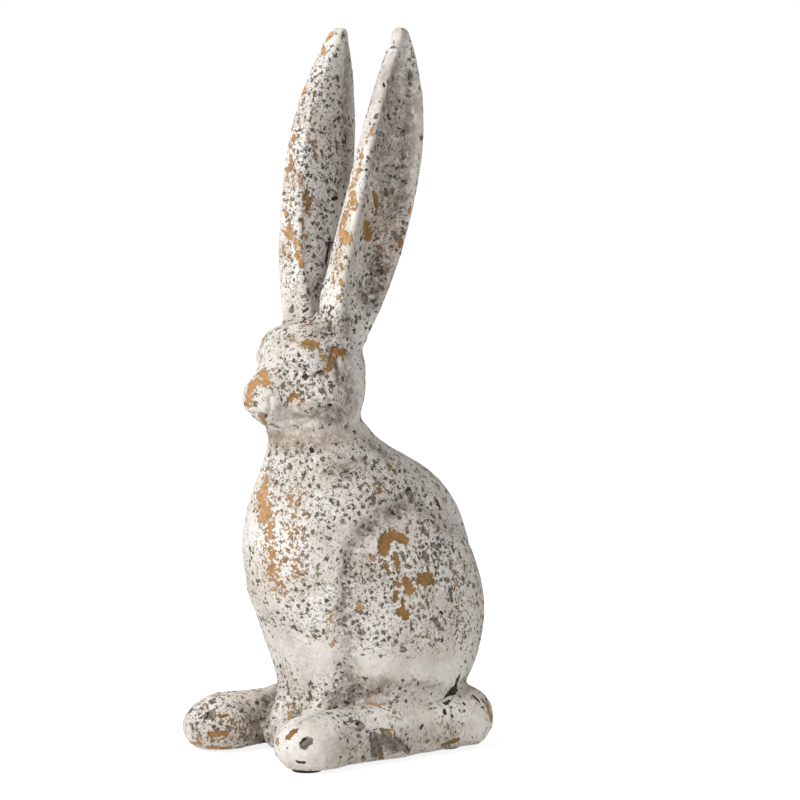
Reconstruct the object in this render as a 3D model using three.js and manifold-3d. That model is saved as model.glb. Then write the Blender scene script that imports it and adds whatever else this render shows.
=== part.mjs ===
// A seated hare statue for the garden or the hearth: hollow torso halves, a head, two ears on steel rods,
// two hind feet and a tail, each cast by itself in a stone-like composite, bonded together and painted over.
// Millimetres. x points to the hare's left, y towards its tail and z up. The origin is on the ground, under
// the middle of the statue.
import * as THREE from "three";
import { mergeVertices, toCreasedNormals } from "three/addons/utils/BufferGeometryUtils.js";
import Module from "manifold-3d";

const wasm = await Module();
wasm.setup();

// Heights, and the bond lines between castings
const padThickness = 2.5;
const neckHeight = 207;
const neckFillHeight = 9;
const bondGap = 0.3;
const wall = 9;

// Barrel of the body
const barrelHalfWidth = 56;
const barrelHalfDepth = 69;
const barrelHalfHeight = 94;
const barrelY = 26;
const barrelZ = 98;
const barrelLean = 5;

// Chest
const chestHalfWidth = 49;
const chestHalfDepth = 53.5;
const chestHalfHeight = 66;
const chestY = -26;
const chestZ = 143;

// Upper back
const backHalfWidth = 53;
const backHalfDepth = 66.5;
const backHalfHeight = 71;
const backY = 26;
const backZ = 131;

// Seat, the part of the body that stands between the hind feet
const seatHalfWidth = 43;
const seatHalfDepth = 60;
const seatHalfHeight = 34;
const seatY = 26;
const seatZ = 26;

// Haunches
const haunchHalfWidth = 26;
const haunchHalfDepth = 60;
const haunchHalfHeight = 70;
const haunchX = 44;
const haunchY = 23;
const haunchZ = 94;

// Forelegs and front paws
const shoulderRadius = 33;
const shoulderX = 20;
const shoulderY = -30;
const shoulderZ = 114;
const wristRadius = 15;
const wristX = 18;
const wristY = -24;
const wristZ = 40;
const brisketRadius = 21;
const brisketY = -38;
const brisketZ = 90;
const brisketFootRadius = 14;
const brisketFootY = -30;
const pawRadius = 13;
const pawX = 15;
const pawReach = 22;
const pawZ = 14;

// Hind feet
const footX = 50;
const toeY = -74;
const toeHalfWidth = 24;
const toeHalfLength = 25;
const toeHalfHeight = 18.5;
const toeDrop = 1.5;
const toeZ = 18;
const soleRadius = 20.5;
const instepY = -12;
const heelInset = 34;
const heelY = barrelY + barrelHalfDepth - heelInset;
const heelRadius = 22;
const heelRise = 1.8;
const ballSetBack = 6;
const soleSink = 3;

// Tail
const tailHalfWidth = 14;
const tailHalfDepth = 13;
const tailHalfHeight = 20;
const tailSink = 9.5;
const tailY = barrelY + barrelHalfDepth - tailSink;
const tailZ = 42;
const tailLean = -12;

// Neck, and the spigot under the head that plugs into it
const neckY = -26;
const neckRootRadius = 42;
const neckRootSet = 13;
const neckRootDrop = 24;
const neckTopRadius = 31;
const neckTopReach = 4;
const neckTopRise = 18;
const spigotRadius = 20;
const spigotLength = 24;
const spigotClearance = 0.4;
const mouthHeight = 10;

// Head
const skullHalfWidth = 34.5;
const skullHalfDepth = 36.5;
const skullHalfHeight = 35;
const skullY = -30;
const skullLift = 46;
const cheekHalfWidth = 18;
const cheekHalfDepth = 28;
const cheekHalfHeight = 23;
const cheekX = 19;
const cheekReach = 4;
const cheekDrop = 16;
const muzzleHalfWidth = 16.5;
const muzzleHalfDepth = 21.5;
const muzzleHalfHeight = 15;
const muzzleReach = 35;
const muzzleDrop = 18;
const bridgeRadius = 20;
const bridgeReach = 11;
const bridgeRise = 9;
const noseRadius = 11;
const noseReach = 43;
const noseDrop = 10;
const chinHalfWidth = 12;
const chinHalfDepth = 13;
const chinHalfHeight = 8;
const chinReach = 26.5;
const chinDrop = 33;
const browHalfWidth = 11;
const browHalfDepth = 17;
const browHalfHeight = 12;
const browX = 18;
const browReach = 13;
const browRise = 17;
const browLean = 12;

// Ears
const earLength = 210;
const earSeat = 24;
const earHalfWidth = 28.3;
const earTurn = 0.07;
const earEdgeRadius = 4.5;
const earThickness = 23;
const earRootThickness = 5;
const earRootShare = 0.52;
const earWidest = 0.4;
const earTipShare = 0.999;
const earTipRoundness = 2.7;
const earTipFullness = 1.1;
const earThinning = 0.5;
const earRootThinning = 6;
const earBevel = 1;
const earSpineShare = 0.75;
const earSpinePlace = 0.2;
const earBackShare = 0.94;
const earGrooveDepth = 8;
const grooveTipFade = 0.3;
const grooveRootStart = -0.04;
const grooveRootFull = 0.2;
const spoonShift = 0.1;
const spoonLift = 3;
const earRootX = 27;
const earTipX = 37.5;
const earBow = 12.5;
const earRootY = -17;
const earTipY = 21;
const earLowerSweep = 0.45;
const earUpperSweep = 0.77;
const earJointRise = 8;

// Fillets between neighbouring shapes
const trunkFillet = 22;
const legCrease = 9;
const haunchCrease = 9;
const neckFlare = 28;
const faceFillet = 10;
const earFlare = 10;
const footFillet = 9;

// Steel rods that tie the ears to the head
const rodRadius = 2;
const rodClearance = 0.3;
const rodRise = 84;
const rodDepth = 32;
const coreShare = 0.85;
const coreOffset = -0.3;

// Cloth tapes over the seam inside the torso
const tapeWidth = 36;
const tapeThickness = 2.5;

// Base plate, its vent plug, and the pads under the hind feet
const plateThickness = 8;
const plateRecess = 4;
const ventY = 20;
const plugRadius = 6;
const plugClearance = 0.3;
const plugFlangeRadius = 9;
const plugFlangeThickness = 2;
const plugBevel = 1;
const padRadius = 10;
const padBevel = 0.5;
const toePadReach = 3.5;
const rightToePadOut = 3;
const rightToePadSetBack = 14;
const heelPadInset = 11;
const heelPadIn = 5;

// Cells that the surface of each casting is meshed with
const torsoCell = [9.5, 9.5, 9.5];
const hollowCell = [17, 17, 17];
const headCell = [6, 6.2, 5.6];
const footCell = [8, 10, 7];
const tailCell = [5, 5, 5];
const earCell = [4.4, 5.5, 12.5];

// How the castings are meshed: search rounds and step, and how far out everything that is cut away reaches
const settlingRounds = 3;
const probe = 0.4;
const leastSlope = 0.3;
const reach = 700;
const closeBelow = -8;
const halfOverlap = 0.02;
const shortestEdge = 0.001;
const leastWidth = 0.1;
const pinchFill = 0.5;
const roomMargin = 16;
const turnedSides = 32;
const barSides = 12;
const creaseDegrees = 40;

const castBottom = padThickness + bondGap;
const neckFillTop = neckHeight + neckFillHeight;
const skullZ = neckFillTop + skullLift;
const earRootZ = skullZ + earSeat;
const earJointZ = skullZ + skullHalfHeight + earJointRise;

const widest = Math.max(footX + toeHalfWidth, earTipX + earBow, haunchX + haunchHalfWidth);
const deepest = Math.max(toeHalfLength - toeY, heelY + heelRadius, tailY + tailHalfDepth);
const roomHalfWidth = widest + roomMargin;
const roomHalfDepth = Math.max(deepest, barrelY + barrelHalfDepth) + roomMargin;

const radians = (degrees) => (degrees * Math.PI) / 180;
const share = (value, from, to) => Math.min(1, Math.max(0, (value - from) / (to - from)));

// Clay. A shape is a function of a point that is negative inside it and about the distance to its surface.

// An ellipsoid, leaning back by a number of degrees.
function ellipsoid([cx, cy, cz], [rx, ry, rz], lean = 0) {
  const c = Math.cos(radians(lean));
  const s = Math.sin(radians(lean));
  return (x, y, z) => {
    const px = x - cx;
    const py = c * (y - cy) + s * (z - cz);
    const pz = c * (z - cz) - s * (y - cy);
    const near = Math.hypot(px / rx, py / ry, pz / rz);
    const slope = Math.hypot(px / rx ** 2, py / ry ** 2, pz / rz ** 2);
    return slope < 1e-9 ? -Math.min(rx, ry, rz) : (near * (near - 1)) / slope;
  };
}

// A limb with round ends, which tapers from one radius to the other.
function limb(start, startRadius, end, endRadius) {
  const a = new THREE.Vector3(...start);
  const along = new THREE.Vector3(...end).sub(a);
  const p = new THREE.Vector3();
  return (x, y, z) => {
    const t = share(p.set(x, y, z).sub(a).dot(along) / along.lengthSq(), 0, 1);
    return p.addScaledVector(along, -t).length() - (startRadius + (endRadius - startRadius) * t);
  };
}

// Two shapes with a fillet between them.
function fillet(a, b, width) {
  const h = Math.max(width - Math.abs(a - b), 0) / width;
  return Math.min(a, b) - (h * h * width) / 4;
}

const blended = (width, ...shapes) => (x, y, z) =>
  shapes.map((shape) => shape(x, y, z)).reduce((a, b) => fillet(a, b, width));
const paired = (shape) => (x, y, z) => shape(Math.abs(x), y, z);
const moved = (shape, outward) => (x, y, z) => shape(x, y, z) - outward;

// Distance to a convex outline in the plane, whose corners run anticlockwise.
function outlineDistance(px, py, corners) {
  let nearest = Infinity;
  let inside = true;
  corners.forEach(([ax, ay], i) => {
    const [bx, by] = corners[(i + 1) % corners.length];
    const ex = bx - ax;
    const ey = by - ay;
    const t = share(((px - ax) * ex + (py - ay) * ey) / (ex * ex + ey * ey), 0, 1);
    nearest = Math.min(nearest, Math.hypot(px - ax - ex * t, py - ay - ey * t));
    inside &&= ex * (py - ay) - ey * (px - ax) >= 0;
  });
  return inside ? -nearest : nearest;
}

const seat = ellipsoid([0, seatY, seatZ], [seatHalfWidth, seatHalfDepth, seatHalfHeight]);
const trunk = blended(
  trunkFillet,
  ellipsoid([0, barrelY, barrelZ], [barrelHalfWidth, barrelHalfDepth, barrelHalfHeight], barrelLean),
  ellipsoid([0, chestY, chestZ], [chestHalfWidth, chestHalfDepth, chestHalfHeight]),
  ellipsoid([0, backY, backZ], [backHalfWidth, backHalfDepth, backHalfHeight]),
  (x, y, z) => seat(x, y, Math.max(z, seatZ)),
);
const haunches = paired(
  ellipsoid([haunchX, haunchY, haunchZ], [haunchHalfWidth, haunchHalfDepth, haunchHalfHeight]),
);
const foreleg = blended(
  legCrease,
  limb([shoulderX, shoulderY, shoulderZ], shoulderRadius, [wristX, wristY, wristZ], wristRadius),
  limb([wristX, wristY, wristZ], wristRadius, [pawX, wristY - pawReach, pawZ], pawRadius),
);
const brisket = limb([0, brisketY, brisketZ], brisketRadius, [0, brisketFootY, wristZ], brisketFootRadius);
const forelegs = blended(legCrease, paired(foreleg), brisket);
const neck = limb(
  [0, neckY + neckRootSet, neckHeight - neckRootDrop],
  neckRootRadius,
  [0, neckY - neckTopReach, neckHeight + neckTopRise],
  neckTopRadius,
);
const skull = blended(
  faceFillet,
  ellipsoid([0, skullY, skullZ], [skullHalfWidth, skullHalfDepth, skullHalfHeight]),
  paired(
    ellipsoid(
      [cheekX, skullY - cheekReach, skullZ - cheekDrop],
      [cheekHalfWidth, cheekHalfDepth, cheekHalfHeight],
    ),
  ),
  ellipsoid(
    [0, skullY - muzzleReach, skullZ - muzzleDrop],
    [muzzleHalfWidth, muzzleHalfDepth, muzzleHalfHeight],
  ),
  limb(
    [0, skullY - bridgeReach, skullZ + bridgeRise],
    bridgeRadius,
    [0, skullY - noseReach, skullZ - noseDrop],
    noseRadius,
  ),
  ellipsoid([0, skullY - chinReach, skullZ - chinDrop], [chinHalfWidth, chinHalfDepth, chinHalfHeight]),
  paired(
    ellipsoid(
      [browX, skullY - browReach, skullZ + browRise],
      [browHalfWidth, browHalfDepth, browHalfHeight],
      browLean,
    ),
  ),
);

// An ear's outer rim, seen from the front, and the middle of its width, seen from the side.
const earLine = new THREE.CubicBezierCurve3(
  new THREE.Vector3(earRootX, earRootY, 0),
  new THREE.Vector3(earRootX + earBow, earRootY + (earTipY - earRootY) * earLowerSweep, earLength / 3),
  new THREE.Vector3(earTipX + earBow, earRootY + (earTipY - earRootY) * earUpperSweep, (earLength * 2) / 3),
  new THREE.Vector3(earTipX, earTipY, earLength),
);

// An ear's line, width and thickness at a height above its root.
function earAt(height) {
  const u = share(height, 0, earLength);
  const spread = earTipShare * share(u, earWidest, 1);
  const swell = 1 - (1 - earRootShare) * (1 - u / earWidest) ** 2;
  const blade = earThickness - 2 * earEdgeRadius;
  const leaf = u < earWidest ? swell : (1 - spread ** earTipRoundness) ** earTipFullness;
  return {
    line: earLine.getPoint(u),
    halfWidth: (earHalfWidth - earEdgeRadius) * leaf,
    thickness: blade * (1 - u) ** earThinning + earRootThickness * (1 - u) ** earRootThinning,
    groove: earGrooveDepth * share(1 - u, 0, grooveTipFade) * share(u, grooveRootStart, grooveRootFull),
  };
}

// The left ear: a blade with a round edge, scooped out on its outer side.
function leftEar(x, y, z) {
  const height = z - earRootZ;
  const { line, halfWidth, thickness, groove } = earAt(height);
  const py = y - line.y;
  const px = x - line.x + earTurn * py;
  const rim = -earEdgeRadius;
  const flat = outlineDistance(px, py, [
    [rim, -halfWidth],
    [rim - earBevel, halfWidth],
    [rim - earBevel - earSpineShare * thickness, earSpinePlace * halfWidth],
    [rim - earBevel - thickness, -earBackShare * halfWidth],
  ]);
  const past = Math.max(height - earLength + earEdgeRadius, -height, 0);
  const blade = Math.hypot(Math.max(flat, 0), past) + Math.min(flat, 0) - earEdgeRadius;
  const spoon = groove + spoonLift;
  const halfSpoon = earBackShare * halfWidth + leastWidth;
  const scoop = Math.hypot((px - spoonLift) / spoon, (py + spoonShift * halfWidth) / halfSpoon) - 1;
  return -fillet(-blade, scoop * Math.min(spoon, halfSpoon), spoonLift);
}

// The middle of the left ear's thickness at a height above its root, where its rod runs.
function earCore(height) {
  const { line, halfWidth, thickness, groove } = earAt(height);
  const inner = -2 * earEdgeRadius - coreShare * thickness;
  return new THREE.Vector3(line.x + (inner - groove) / 2, line.y + coreOffset * halfWidth, earRootZ + height);
}

const instep = [footX, instepY, soleRadius - soleSink];
const foot = blended(
  footFillet,
  limb([footX, toeY + ballSetBack, toeZ], soleRadius, instep, soleRadius),
  limb(instep, soleRadius, [footX, heelY, heelRadius - soleSink + heelRise], heelRadius),
  ellipsoid([footX, toeY, toeZ - toeDrop], [toeHalfWidth, toeHalfLength, toeHalfHeight]),
);
const tail = ellipsoid([0, tailY, tailZ], [tailHalfWidth, tailHalfDepth, tailHalfHeight], tailLean);
const barrel = blended(haunchCrease, trunk, haunches);
const torso = blended(neckFlare, blended(haunchCrease, blended(legCrease, trunk, forelegs), haunches), neck);
const hollow = moved(blended(neckFlare, barrel, neck), -wall);
const bust = blended(earFlare, torso, skull, paired(leftEar));

// Moves a point near the surface of a clay shape onto it.
function settled(shape, [x, y, z]) {
  for (let round = 0; round < settlingRounds; round++) {
    const slope = [
      (shape(x + probe, y, z) - shape(x - probe, y, z)) / (2 * probe),
      (shape(x, y + probe, z) - shape(x, y - probe, z)) / (2 * probe),
      (shape(x, y, z + probe) - shape(x, y, z - probe)) / (2 * probe),
    ];
    const pull = shape(x, y, z) / Math.max(Math.hypot(...slope) ** 2, leastSlope);
    x -= pull * slope[0];
    y -= pull * slope[1];
    z -= pull * slope[2];
  }
  return [x, y, z];
}

// Turns a closed geometry into a solid that can be cut and joined.
function solid(geometry) {
  geometry.deleteAttribute("normal");
  geometry.deleteAttribute("uv");
  const welded = mergeVertices(geometry);
  const vertProperties = Float32Array.from(welded.attributes.position.array);
  const triVerts = Uint32Array.from(welded.index.array);
  const mesh = new wasm.Mesh({ numProp: 3, vertProperties, triVerts, tolerance: shortestEdge });
  return new wasm.Manifold(mesh);
}

// The eight corners of a cell and the twelve edges between them.
const cellCorners = [0, 1, 2, 3, 4, 5, 6, 7].map((n) => [n & 1, (n >> 1) & 1, n >> 2]);
const cellEdges = cellCorners.flatMap((_, a) =>
  [1, 2, 4].filter((step) => (a & step) === 0).map((step) => [a, a + step]),
);

// Fills the corners of cell faces that only two opposite corners of clay touch, where the net would pinch.
function fillPinches(depth, visitAll, at) {
  let pinched = true;
  while (pinched) {
    pinched = false;
    visitAll(0, 1, (i, j, k) => {
      const here = at(i, j, k);
      const along = [at(i + 1, j, k), at(i, j + 1, k), at(i, j, k + 1)];
      const across = [at(i, j + 1, k + 1), at(i + 1, j, k + 1), at(i + 1, j + 1, k)];
      across.forEach((far, axis) => {
        const [one, other] = along.filter((_, n) => n !== axis);
        const filled = [here, one, far, other].map((corner) => depth[corner] < 0);
        if (filled[0] !== filled[2] || filled[1] !== filled[3] || filled[0] === filled[1]) return;
        const [a, b] = filled[0] ? [one, other] : [here, far];
        depth[depth[a] < depth[b] ? a : b] = -pinchFill;
        pinched = true;
      });
    });
  }
}

// Follows the surface of a clay shape between two heights with a net that has one knot in every cell the
// surface passes through, then moves the knots outward by a distance, or inward if it is negative.
function cast(clay, bottom, top, cell, outward = 0) {
  const shape = (x, y, z) => Math.max(clay(x, y, z), bottom - z, z - top);
  const low = [-roomHalfWidth, -roomHalfDepth, bottom];
  const high = [roomHalfWidth, roomHalfDepth, top];
  const first = low.map((value, axis) => Math.floor(value / cell[axis]) - 1);
  const last = high.map((value, axis) => Math.ceil(value / cell[axis]) + 1);
  const count = first.map((value, axis) => last[axis] - value + 1);
  const at = (i, j, k) => (k * count[1] + j) * count[0] + i;
  const place = (...steps) => steps.map((step, axis) => (first[axis] + step) * cell[axis]);
  const depth = new Float64Array(count[0] * count[1] * count[2]);
  const knot = new Int32Array(depth.length).fill(-1);
  const positions = [];
  const index = [];
  const visitAll = (from, past, visit) => {
    for (let k = from; k < count[2] - past; k++) {
      for (let j = from; j < count[1] - past; j++) {
        for (let i = from; i < count[0] - past; i++) visit(i, j, k);
      }
    }
  };
  visitAll(0, 0, (i, j, k) => {
    depth[at(i, j, k)] = shape(...place(i, j, k));
  });
  fillPinches(depth, visitAll, at);
  visitAll(0, 1, (i, j, k) => {
    const corner = cellCorners.map(([a, b, c]) => depth[at(i + a, j + b, k + c)]);
    const crossed = cellEdges.filter(([a, b]) => corner[a] < 0 !== corner[b] < 0);
    if (crossed.length === 0) return;
    const middle = [0, 1, 2].map((axis) => {
      const crossings = crossed.map(([a, b]) => {
        const t = corner[a] / (corner[a] - corner[b]);
        return cellCorners[a][axis] + t * (cellCorners[b][axis] - cellCorners[a][axis]);
      });
      return crossings.reduce((sum, value) => sum + value, 0) / crossings.length;
    });
    const start = settled(shape, place(i + middle[0], j + middle[1], k + middle[2]));
    knot[at(i, j, k)] = positions.length / 3;
    positions.push(...(outward === 0 ? start : settled(moved(shape, outward), start)));
  });
  const weave = (here, next, ...knots) => {
    if (here < 0 === next < 0) return;
    const [a, b, c, d] = here < 0 ? knots : knots.reverse();
    index.push(a, b, c, a, c, d);
  };
  visitAll(1, 1, (i, j, k) => {
    const here = depth[at(i, j, k)];
    const back = (a, b, c) => knot[at(i - a, j - b, k - c)];
    weave(here, depth[at(i + 1, j, k)], back(0, 1, 1), back(0, 0, 1), back(0, 0, 0), back(0, 1, 0));
    weave(here, depth[at(i, j + 1, k)], back(1, 0, 1), back(1, 0, 0), back(0, 0, 0), back(0, 0, 1));
    weave(here, depth[at(i, j, k + 1)], back(1, 1, 0), back(0, 1, 0), back(0, 0, 0), back(1, 0, 0));
  });
  const geometry = new THREE.BufferGeometry();
  geometry.setAttribute("position", new THREE.Float32BufferAttribute(positions, 3));
  geometry.setIndex(index);
  return solid(geometry);
}

// A block between two corners.
function block(low, high) {
  const [width, depth, height] = high.map((value, axis) => value - low[axis]);
  const middle = high.map((value, axis) => (value + low[axis]) / 2);
  return solid(new THREE.BoxGeometry(width, depth, height).translate(...middle));
}

// Everything between two heights, and everything to the left of the seam.
const layer = (bottom, top) => block([-reach, -reach, bottom], [reach, reach, top]);
const leftSide = block([bondGap / 2, -reach, -reach], [reach, reach, reach]);

// A round solid on an upright axis, from its profile of radii and heights.
function turned(profile, [x, y, z]) {
  const points = profile.map(([radius, height]) => new THREE.Vector2(radius, height));
  return solid(new THREE.LatheGeometry(points, turnedSides).rotateX(Math.PI / 2).translate(x, y, z));
}

const upright = (radius, height, place) =>
  turned([[0, 0], [radius, 0], [radius, height], [0, height]], place);

// A straight round bar between two points.
function bar(from, to, radius, overrun = 0) {
  const along = to.clone().sub(from);
  const geometry = new THREE.CylinderGeometry(radius, radius, along.length() + 2 * overrun, barSides);
  const turn = new THREE.Quaternion().setFromUnitVectors(new THREE.Vector3(0, 1, 0), along.normalize());
  return solid(geometry.applyQuaternion(turn).translate(...from.clone().add(to).divideScalar(2)));
}

// The mirror image of a solid on the hare's right.
const mirrored = (body) => body.mirror([1, 0, 0]);

// A solid whose right half is made the mirror image of its left half.
function evened(body) {
  const left = body.intersect(block([-halfOverlap, -reach, -reach], [reach, reach, reach]));
  return left.add(mirrored(left));
}

// The largest body of a solid that a cut has left in several.
const largest = (cut) => cut.decompose().sort((a, b) => b.volume() - a.volume())[0];

// Torso: two hollow halves, open below and at the mouth of the neck
const torsoTop = neckHeight + torsoCell[2];
const mouthBottom = neckHeight - mouthHeight;
const hollowTop = mouthBottom + hollowCell[2];
const belly = cast(hollow, closeBelow, hollowTop, hollowCell).intersect(layer(-reach, mouthBottom));
const boreRadius = spigotRadius + spigotClearance;
const mouth = upright(boreRadius, 2 * mouthHeight, [0, neckY, mouthBottom - mouthHeight / 2]);
const leftShell = cast(torso, closeBelow, torsoTop, torsoCell)
  .intersect(layer(castBottom, neckHeight))
  .intersect(leftSide)
  .subtract(belly)
  .subtract(mouth);

// Base plate inside the foot of the torso, and its vent plug
const plateBottom = castBottom + plateRecess;
const plateTop = plateBottom + plateThickness;
const lining = cast(hollow, closeBelow, hollowTop, hollowCell, -bondGap);
const ventBottom = plateBottom - plateThickness;
const vent = upright(plugRadius + plugClearance, 3 * plateThickness, [0, ventY, ventBottom]);
const plate = evened(lining).intersect(layer(plateBottom, plateTop)).subtract(vent);
const plugBottom = plateBottom - bondGap - plugFlangeThickness;
const plug = turned(
  [
    [0, 0],
    [plugFlangeRadius, 0],
    [plugFlangeRadius, plugFlangeThickness],
    [plugRadius, plugFlangeThickness],
    [plugRadius, plateTop - plugBottom],
    [plugRadius - plugBevel, plateTop - plugBottom + plugBevel],
    [0, plateTop - plugBottom + plugBevel],
  ],
  [0, ventY, plugBottom],
);

// Tapes over the seam, one up the chest and one up the back
const tapeFace = cast(hollow, closeBelow, hollowTop, hollowCell, -bondGap - tapeThickness);
const tapeBottom = plateTop + bondGap;
const tapeTop = mouthBottom - bondGap;
const tapes = evened(lining.subtract(tapeFace))
  .intersect(block([-tapeWidth / 2, -reach, tapeBottom], [tapeWidth / 2, reach, tapeTop]))
  .decompose()
  .sort((a, b) => a.boundingBox().min[1] - b.boundingBox().min[1]);

// Neck, head and ears
const ringBore = upright(boreRadius, 3 * neckFillHeight, [0, neckY, neckHeight - neckFillHeight]);
const neckRing = cast(bust, neckHeight - headCell[2], neckFillTop + headCell[2], headCell)
  .intersect(layer(neckHeight + bondGap, neckFillTop))
  .subtract(ringBore);
const rodTop = earCore(rodRise);
const rodBottom = rodTop.clone().sub(earCore(0)).normalize().multiplyScalar(-rodDepth).add(earCore(0));
const leftRod = bar(rodBottom, rodTop, rodRadius);
const leftChannel = bar(rodBottom, rodTop, rodRadius + rodClearance, rodClearance);
const headBottom = neckFillTop + bondGap;
const spigotHeight = spigotLength + headBottom - neckHeight + spigotRadius;
const head = cast(bust, headBottom - headCell[2], earJointZ + headCell[2], headCell)
  .intersect(layer(headBottom, earJointZ))
  .add(upright(spigotRadius, spigotHeight, [0, neckY, neckHeight - spigotLength]))
  .subtract(leftChannel)
  .subtract(mirrored(leftChannel));
const leftBust = (x, y, z) => Math.max(bust(x, y, z), -x);
const ear = cast(leftBust, earJointZ - earCell[2], earRootZ + earLength + earCell[2], earCell)
  .intersect(layer(earJointZ + bondGap, reach))
  .intersect(leftSide)
  .subtract(leftChannel);

// Hind feet, tail and pads
const besideTorso = cast(torso, closeBelow, torsoTop, torsoCell, bondGap);
const footCast = cast(foot, closeBelow, toeZ + 2 * heelRadius, footCell);
const hindFoot = largest(footCast.intersect(layer(castBottom, reach)).subtract(besideTorso));
const tailStock = cast(tail, closeBelow, tailZ + 2 * tailHalfHeight, tailCell);
const tailCast = evened(largest(tailStock.subtract(besideTorso)));
const pad = (x, y) =>
  turned(
    [
      [0, 0],
      [padRadius - padBevel, 0],
      [padRadius, padBevel],
      [padRadius, padThickness],
      [0, padThickness],
    ],
    [x, y, 0],
  );
const leftToePad = pad(footX, toeY - toePadReach);
const rightToePad = pad(-footX - rightToePadOut, toeY + rightToePadSetBack);
const heelPad = pad(footX - heelPadIn, heelY - heelPadInset);

const coat = { color: 0xd8d2c8, roughness: 0.92 };
const steel = { color: 0x8d8f91, roughness: 0.4, metalness: 1 };
const cloth = { color: 0xb8ae98, roughness: 0.95 };
const rubber = { color: 0x1c1c1e, roughness: 0.8 };
const rawCast = { color: 0xb9b2a6, roughness: 0.95 };
const jointing = { color: 0xcdbfa8, roughness: 0.7 };

const statue = new THREE.Group();
statue.name = "hare_statue";

// Adds a piece to the statue.
function add(name, body, look) {
  const { vertProperties, triVerts } = body.getMesh();
  const geometry = new THREE.BufferGeometry();
  geometry.setAttribute("position", new THREE.Float32BufferAttribute(vertProperties, 3));
  geometry.setIndex(new THREE.BufferAttribute(triVerts, 1));
  const creased = toCreasedNormals(geometry, radians(creaseDegrees));
  const mesh = new THREE.Mesh(creased, new THREE.MeshStandardMaterial(look));
  mesh.name = name;
  statue.add(mesh);
}

// Adds a left piece and its mirror image on the right.
function addPair(name, body, look) {
  add(`left_${name}`, body, look);
  add(`right_${name}`, mirrored(body), look);
}

addPair("torso_shell", leftShell, coat);
add("chest_seam_tape", tapes[0], cloth);
add("back_seam_tape", tapes[1], cloth);
add("base_plate", plate, rawCast);
add("vent_plug", plug, rubber);
add("neck_fill_ring", neckRing, jointing);
add("head", head, coat);
addPair("ear", ear, coat);
addPair("ear_rod", leftRod, steel);
addPair("hind_foot", hindFoot, coat);
add("tail", tailCast, coat);
add("left_toe_pad", leftToePad, rubber);
add("right_toe_pad", rightToePad, rubber);
addPair("heel_pad", heelPad, rubber);

export default statue;
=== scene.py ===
"""A seated hare statue, cast in pieces, in a chipped white coat of paint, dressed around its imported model.

The clay shapes are written in millimetres and turned into metres when a mesh is made. x points to the
hare's left, y towards its tail and z up, as in the model.
"""

import math
from functools import partialmethod

import bpy
import numpy as np
from mathutils import Matrix, Vector


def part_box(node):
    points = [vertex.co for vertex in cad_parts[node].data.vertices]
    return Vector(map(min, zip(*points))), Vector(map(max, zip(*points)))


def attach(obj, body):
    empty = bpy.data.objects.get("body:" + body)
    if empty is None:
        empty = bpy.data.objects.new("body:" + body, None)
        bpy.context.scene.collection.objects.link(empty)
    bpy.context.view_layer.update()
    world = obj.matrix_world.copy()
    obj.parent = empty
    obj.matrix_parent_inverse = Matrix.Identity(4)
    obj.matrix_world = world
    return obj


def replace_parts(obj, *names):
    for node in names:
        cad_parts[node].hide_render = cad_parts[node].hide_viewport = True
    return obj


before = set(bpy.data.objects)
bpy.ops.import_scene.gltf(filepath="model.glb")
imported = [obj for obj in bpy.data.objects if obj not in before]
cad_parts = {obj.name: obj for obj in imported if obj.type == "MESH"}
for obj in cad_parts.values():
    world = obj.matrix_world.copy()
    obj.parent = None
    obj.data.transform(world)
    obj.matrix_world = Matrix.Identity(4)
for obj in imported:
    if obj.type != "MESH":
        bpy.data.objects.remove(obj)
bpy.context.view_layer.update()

MM = 0.001

# The photograph's camera: where it stands, and where the ground under the statue's middle is in the picture.
PICTURE_SIDE = 800
SENSOR_WIDTH = 36.0
VIEW_AZIMUTH = 50.0
CAMERA_DISTANCE = 2600.0
CAMERA_HEIGHT = 480.0
FOCAL_PIXELS = 3806.0
GROUND_PIXEL = (347.5, 746.5)

# Heights where the castings meet, from the frame
NECK_HEIGHT = (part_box("left_torso_shell")[1].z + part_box("neck_fill_ring")[0].z) / 2 / MM
RING_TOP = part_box("neck_fill_ring")[1].z / MM + 0.15
EAR_JOINT = (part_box("head")[1].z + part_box("left_ear")[0].z) / 2 / MM
CAST_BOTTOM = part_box("left_torso_shell")[0].z / MM
EAR_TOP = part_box("left_ear")[1].z / MM

# Clay of the body: centre, half sizes and how many degrees it leans back
BARREL = ((0, 26, 98), (56, 69, 94), 5)
CHEST = ((0, -26, 143), (49, 53.5, 66), 0)
BACK = ((0, 26, 131), (53, 66.5, 71), 0)
SEAT = ((0, 26, 26), (43, 60, 34), 0)
HAUNCH = ((44, 23, 94), (26, 60, 70), 0)
TAIL = ((0, 85.5, 42), (14, 13, 20), -12)
SHOULDER, SHOULDER_RADIUS = (20, -30, 114), 33
WRIST, WRIST_RADIUS = (18, -24, 40), 15
BRISKET, BRISKET_RADIUS = (0, -38, 90), 21
BRISKET_FOOT, BRISKET_FOOT_RADIUS = (0, -30, 40), 14
PAW, PAW_RADIUS = (15, -46, 14), 13
NECK_ROOT, NECK_ROOT_RADIUS = (0, -13, 183), 42
NECK_TOP, NECK_TOP_RADIUS = (0, -30, 225), 31
WALL = 9

# Clay of the hind feet
TOE = ((50, -74, 16.5), (24, 25, 18.5), 0)
BALL, SOLE_RADIUS = (50, -68, 18), 20.5
INSTEP = (50, -12, 17.5)
HEEL, HEEL_RADIUS = (50, 61, 20.8), 22

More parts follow.
